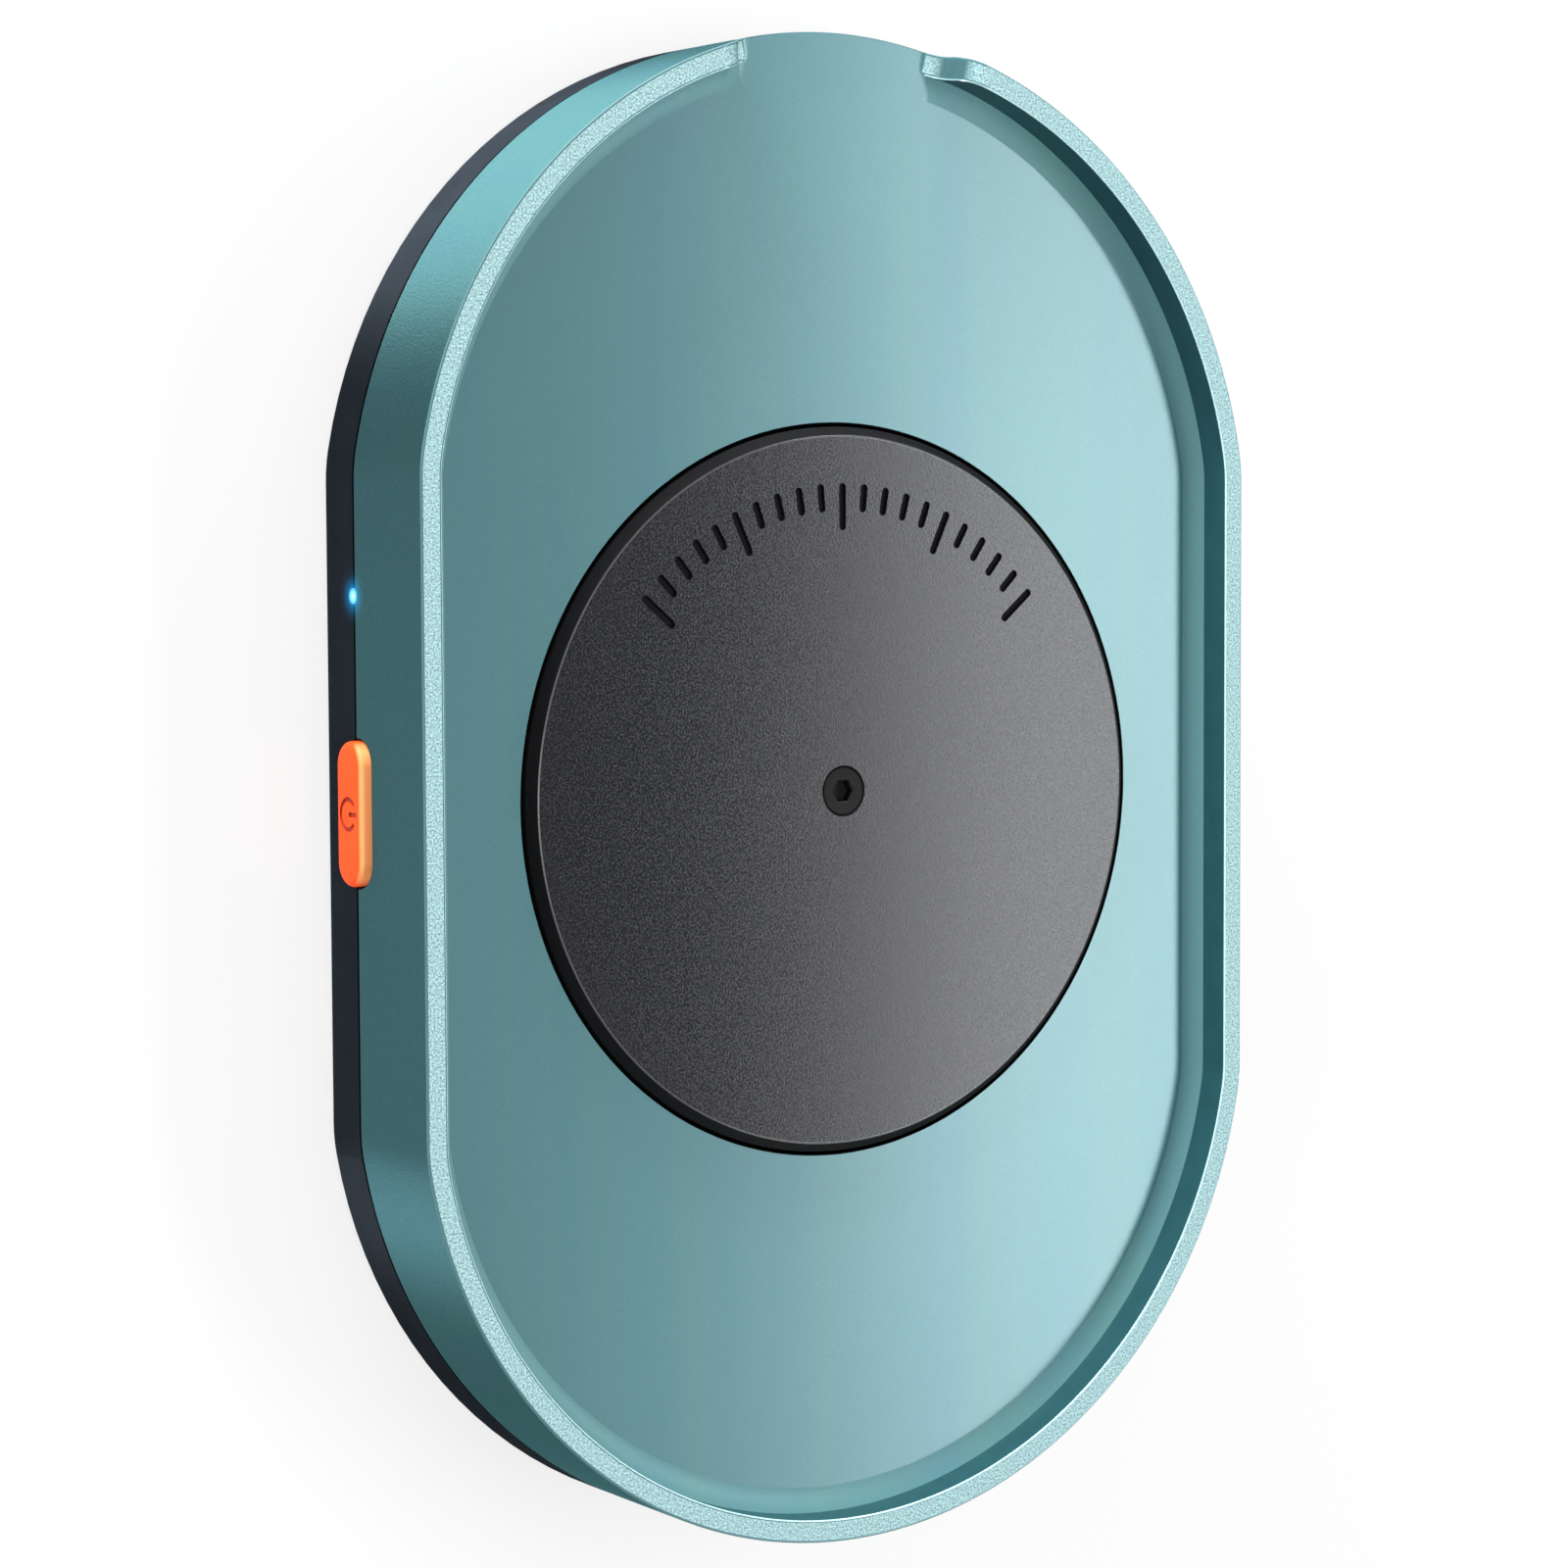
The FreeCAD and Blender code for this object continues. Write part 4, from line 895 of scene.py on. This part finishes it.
# Finishes of the nodes that are shown as they are, by the record's material slot. The numbers are
# the colour, metallic, roughness, specular level, the grain's size and depth, and the mottling.
slot_finishes = {
    "navy_base": base_finish(),
    "black_screw": plain_finish("black_screw", (0.012, 0.013, 0.013), 0.3, 0.4, 0.5, 0.12, 0.004, 0.2),
    "steel": plain_finish("steel", (0.6, 0.6, 0.6), 1.0, 0.28, 0.5, 0.1, 0.002, 0.06, (1, 1, 0.2)),
    "white_gear": plain_finish("white_gear", (0.78, 0.78, 0.74), 0.0, 0.42, 0.5, 0.2, 0.004, 0.03),
    "bronze": plain_finish("bronze", (0.62, 0.38, 0.16), 1.0, 0.42, 0.5, 0.08, 0.005, 0.15),
    "washer_nylon": plain_finish("washer_nylon", (0.7, 0.68, 0.58), 0.0, 0.5, 0.5, 0.2, 0.004, 0.05),
    "plated_steel": plain_finish("plated_steel", (0.72, 0.71, 0.69), 1.0, 0.25, 0.5, 0.12, 0.002, 0.05),
    "copper_coil": plain_finish("copper_coil", (0.7, 0.28, 0.12), 1.0, 0.35, 0.5, 0.1, 0.02, 0.12,
                                (30, 30, 1)),
    "magnet": plain_finish("magnet", (0.07, 0.07, 0.075), 0.2, 0.6, 0.4, 0.1, 0.008, 0.15),
    "cream_plastic": plain_finish("cream_plastic", (0.75, 0.7, 0.56), 0.0, 0.5, 0.5, 0.15, 0.005, 0.05),
    "green_board": plain_finish("green_board", (0.012, 0.13, 0.055), 0.0, 0.25, 0.5, 0.4, 0.003, 0.12),
    "black_plastic": plain_finish("black_plastic", (0.014, 0.014, 0.014), 0.0, 0.5, 0.4, 0.12, 0.006, 0.15),
    "switch_stem": plain_finish("switch_stem", (0.7, 0.7, 0.66), 0.0, 0.4, 0.5, 0.15, 0.004, 0.04),
    "led_white": plain_finish("led_white", (0.8, 0.92, 1.0), 0.0, 0.15, 0.5, 0.2, 0.002, 0.03),
    "tan_ceramic": plain_finish("tan_ceramic", (0.38, 0.24, 0.12), 0.0, 0.45, 0.5, 0.1, 0.005, 0.1),
    "dark_ceramic": plain_finish("dark_ceramic", (0.03, 0.03, 0.035), 0.0, 0.3, 0.5, 0.1, 0.004, 0.1),
    "wire_red": plain_finish("wire_red", (0.5, 0.02, 0.015), 0.0, 0.42, 0.5, 0.2, 0.005, 0.06),
    "wire_yellow": plain_finish("wire_yellow", (0.75, 0.45, 0.02), 0.0, 0.42, 0.5, 0.2, 0.005, 0.06),
    "wire_blue": plain_finish("wire_blue", (0.02, 0.07, 0.4), 0.0, 0.42, 0.5, 0.2, 0.005, 0.06),
    "wire_black": plain_finish("wire_black", (0.012, 0.012, 0.012), 0.0, 0.42, 0.5, 0.2, 0.005, 0.1),
    "light_pipe": lit_pipe,
}

for part in frame["record"]["subparts"]:
    if part["material_slot"] in slot_finishes:
        node = frame["nodes"][part["node"]]
        node.data.materials.clear()
        node.data.materials.append(slot_finishes[part["material_slot"]])

# ---------------------------------------------------------------- the dressed pieces

openings = [slot_cutter(), pipe_cutter(), port_cutter()]
make_piece("shell", shell_parts(), "housing", "top_shell",
           [paint, rim_blasted, wall_paint, inner_edge_painted_highlight, recess_painted_shade, outer_edge_painted_shade, tray_wall_painted_shade, cove_painted_light],
           openings, shell_zone, 30)
make_piece("disc", disc_parts(), "turntable", "turntable_disc",
           [disc_blasted, disc_edge, tick_ink, disc_painted_highlight_line], tick_cutters(), disc_zone)
make_piece("socket_screw", screw_parts(), "turntable", "disc_screw", [screw_black])
make_piece("button_cap", button_parts(), "button", "power_button",
           [orange, mark_ink], mark_cutters(), button_zone)
make_piece("feet", foot_parts(), "housing", "rubber_feet", [rubber])

# ---------------------------------------------------------------- floor, light and camera


def background_rays(nodes, links):
    """1 for rays that should see the white background: camera, glossy and transmission."""
    path = nodes.new("ShaderNodeLightPath")
    total = path.outputs["Is Camera Ray"]
    for name in ("Is Glossy Ray", "Is Transmission Ray"):
        add = nodes.new("ShaderNodeMath")
        add.operation = "MAXIMUM"
        links.new(total, add.inputs[0])
        links.new(path.outputs[name], add.inputs[1])
        total = add.outputs[0]
    return total


def make_floor():
    """Plain pale floor. Seen directly it is mostly white, and it keeps the object's shadow."""
    size = 3.0
    shadow_share = 0.25
    mesh = bpy.data.meshes.new("floor")
    corners = [(-size, -size, 0), (size, -size, 0), (size, size, 0), (-size, size, 0)]
    mesh.from_pydata(corners, [], [(0, 1, 2, 3)])
    floor = bpy.data.objects.new("floor", mesh)
    bpy.context.scene.collection.objects.link(floor)
    material = bpy.data.materials.new("floor_paper")
    material.use_nodes = True
    nodes, links = material.node_tree.nodes, material.node_tree.links
    shader = nodes["Principled BSDF"]
    shader.inputs["Base Color"].default_value = (0.78, 0.78, 0.78, 1)
    shader.inputs["Roughness"].default_value = 0.9
    shader.inputs["Specular IOR Level"].default_value = 0.0
    white = nodes.new("ShaderNodeEmission")
    white.inputs["Strength"].default_value = 1.0
    share = nodes.new("ShaderNodeMath")
    share.operation = "MULTIPLY"
    links.new(background_rays(nodes, links), share.inputs[0])
    share.inputs[1].default_value = 1 - shadow_share
    blend = nodes.new("ShaderNodeMixShader")
    links.new(share.outputs[0], blend.inputs["Fac"])
    links.new(shader.outputs["BSDF"], blend.inputs[1])
    links.new(white.outputs["Emission"], blend.inputs[2])
    links.new(blend.outputs["Shader"], nodes["Material Output"].inputs["Surface"])
    mesh.materials.append(material)


def make_world(ambient):
    """Even, dim surroundings. Rays from the camera and mirrored rays see plain white instead."""
    world = bpy.data.worlds.new("studio")
    bpy.context.scene.world = world
    world.use_nodes = True
    nodes, links = world.node_tree.nodes, world.node_tree.links
    background = nodes["Background"]
    strength = nodes.new("ShaderNodeMapRange")
    links.new(background_rays(nodes, links), strength.inputs["Value"])
    strength.inputs["To Min"].default_value = ambient
    strength.inputs["To Max"].default_value = 1.0
    background.inputs["Color"].default_value = (1, 1, 1, 1)
    links.new(strength.outputs["Result"], background.inputs["Strength"])


def softbox(name, azimuth, elevation, distance, size, radiance, roll=0.0):
    """An area lamp that faces the object and that the camera doesn't see.

    Angles are in degrees, and the distance and the size in metres."""
    turn, lift = math.radians(azimuth), math.radians(elevation)
    towards = Vector((math.cos(turn) * math.cos(lift), math.sin(turn) * math.cos(lift), math.sin(lift)))
    lamp = bpy.data.lights.new(name, "AREA")
    lamp.shape = "RECTANGLE"
    lamp.size, lamp.size_y = size
    lamp.energy = radiance * math.pi * size[0] * size[1]
    holder = bpy.data.objects.new(name, lamp)
    bpy.context.scene.collection.objects.link(holder)
    aim = towards.to_track_quat("Z", "Y").to_matrix().to_4x4()
    spin = Matrix.Rotation(math.radians(roll), 4, "Z")
    middle = Vector((0, 0, 0.012))
    holder.matrix_world = Matrix.Translation(middle + towards * distance) @ aim @ spin
    holder.visible_camera = False


make_floor()
make_world(0.31)
softbox("key", -7, 49.5, 0.7, (0.5, 0.1), 16.4, 5)
softbox("far_end", 112, 5, 0.5, (0.52, 0.08), 58.0)
softbox("far_corner", 60, 5, 0.5, (0.16, 0.08), 32.0)
softbox("near_end", -70, 6, 0.5, (0.16, 0.1), 9.0)
softbox("near_side", 214, 7, 0.5, (0.14, 0.1), 24.0)
softbox("above_side", 188, 62, 0.5, (0.14, 0.12), 12.0)
softbox("overhead", 0, 84, 0.7, (0.5, 0.3), 1.5)

# The camera, as solved from the photo's edges
camera_place = Vector((-180.870, 21.438, 271.728)) * MM
camera_forward = Vector((0.56013, -0.06602, -0.82577)).normalized()
camera_up = Vector((0.04086, 0.99781, -0.05206))
camera_right = camera_forward.cross(camera_up).normalized()
camera_up = camera_right.cross(camera_forward)
lens = bpy.data.cameras.new("camera")
lens.sensor_width = 36.0
lens.lens = 90.84
lens.clip_start = 0.01
lens.clip_end = 10.0
camera = bpy.data.objects.new("camera", lens)
bpy.context.scene.collection.objects.link(camera)
turned = Matrix((camera_right, camera_up, -camera_forward)).transposed().to_4x4()
camera.matrix_world = Matrix.Translation(camera_place) @ turned
bpy.context.scene.camera = camera
bpy.context.scene.view_settings.view_transform = "Standard"
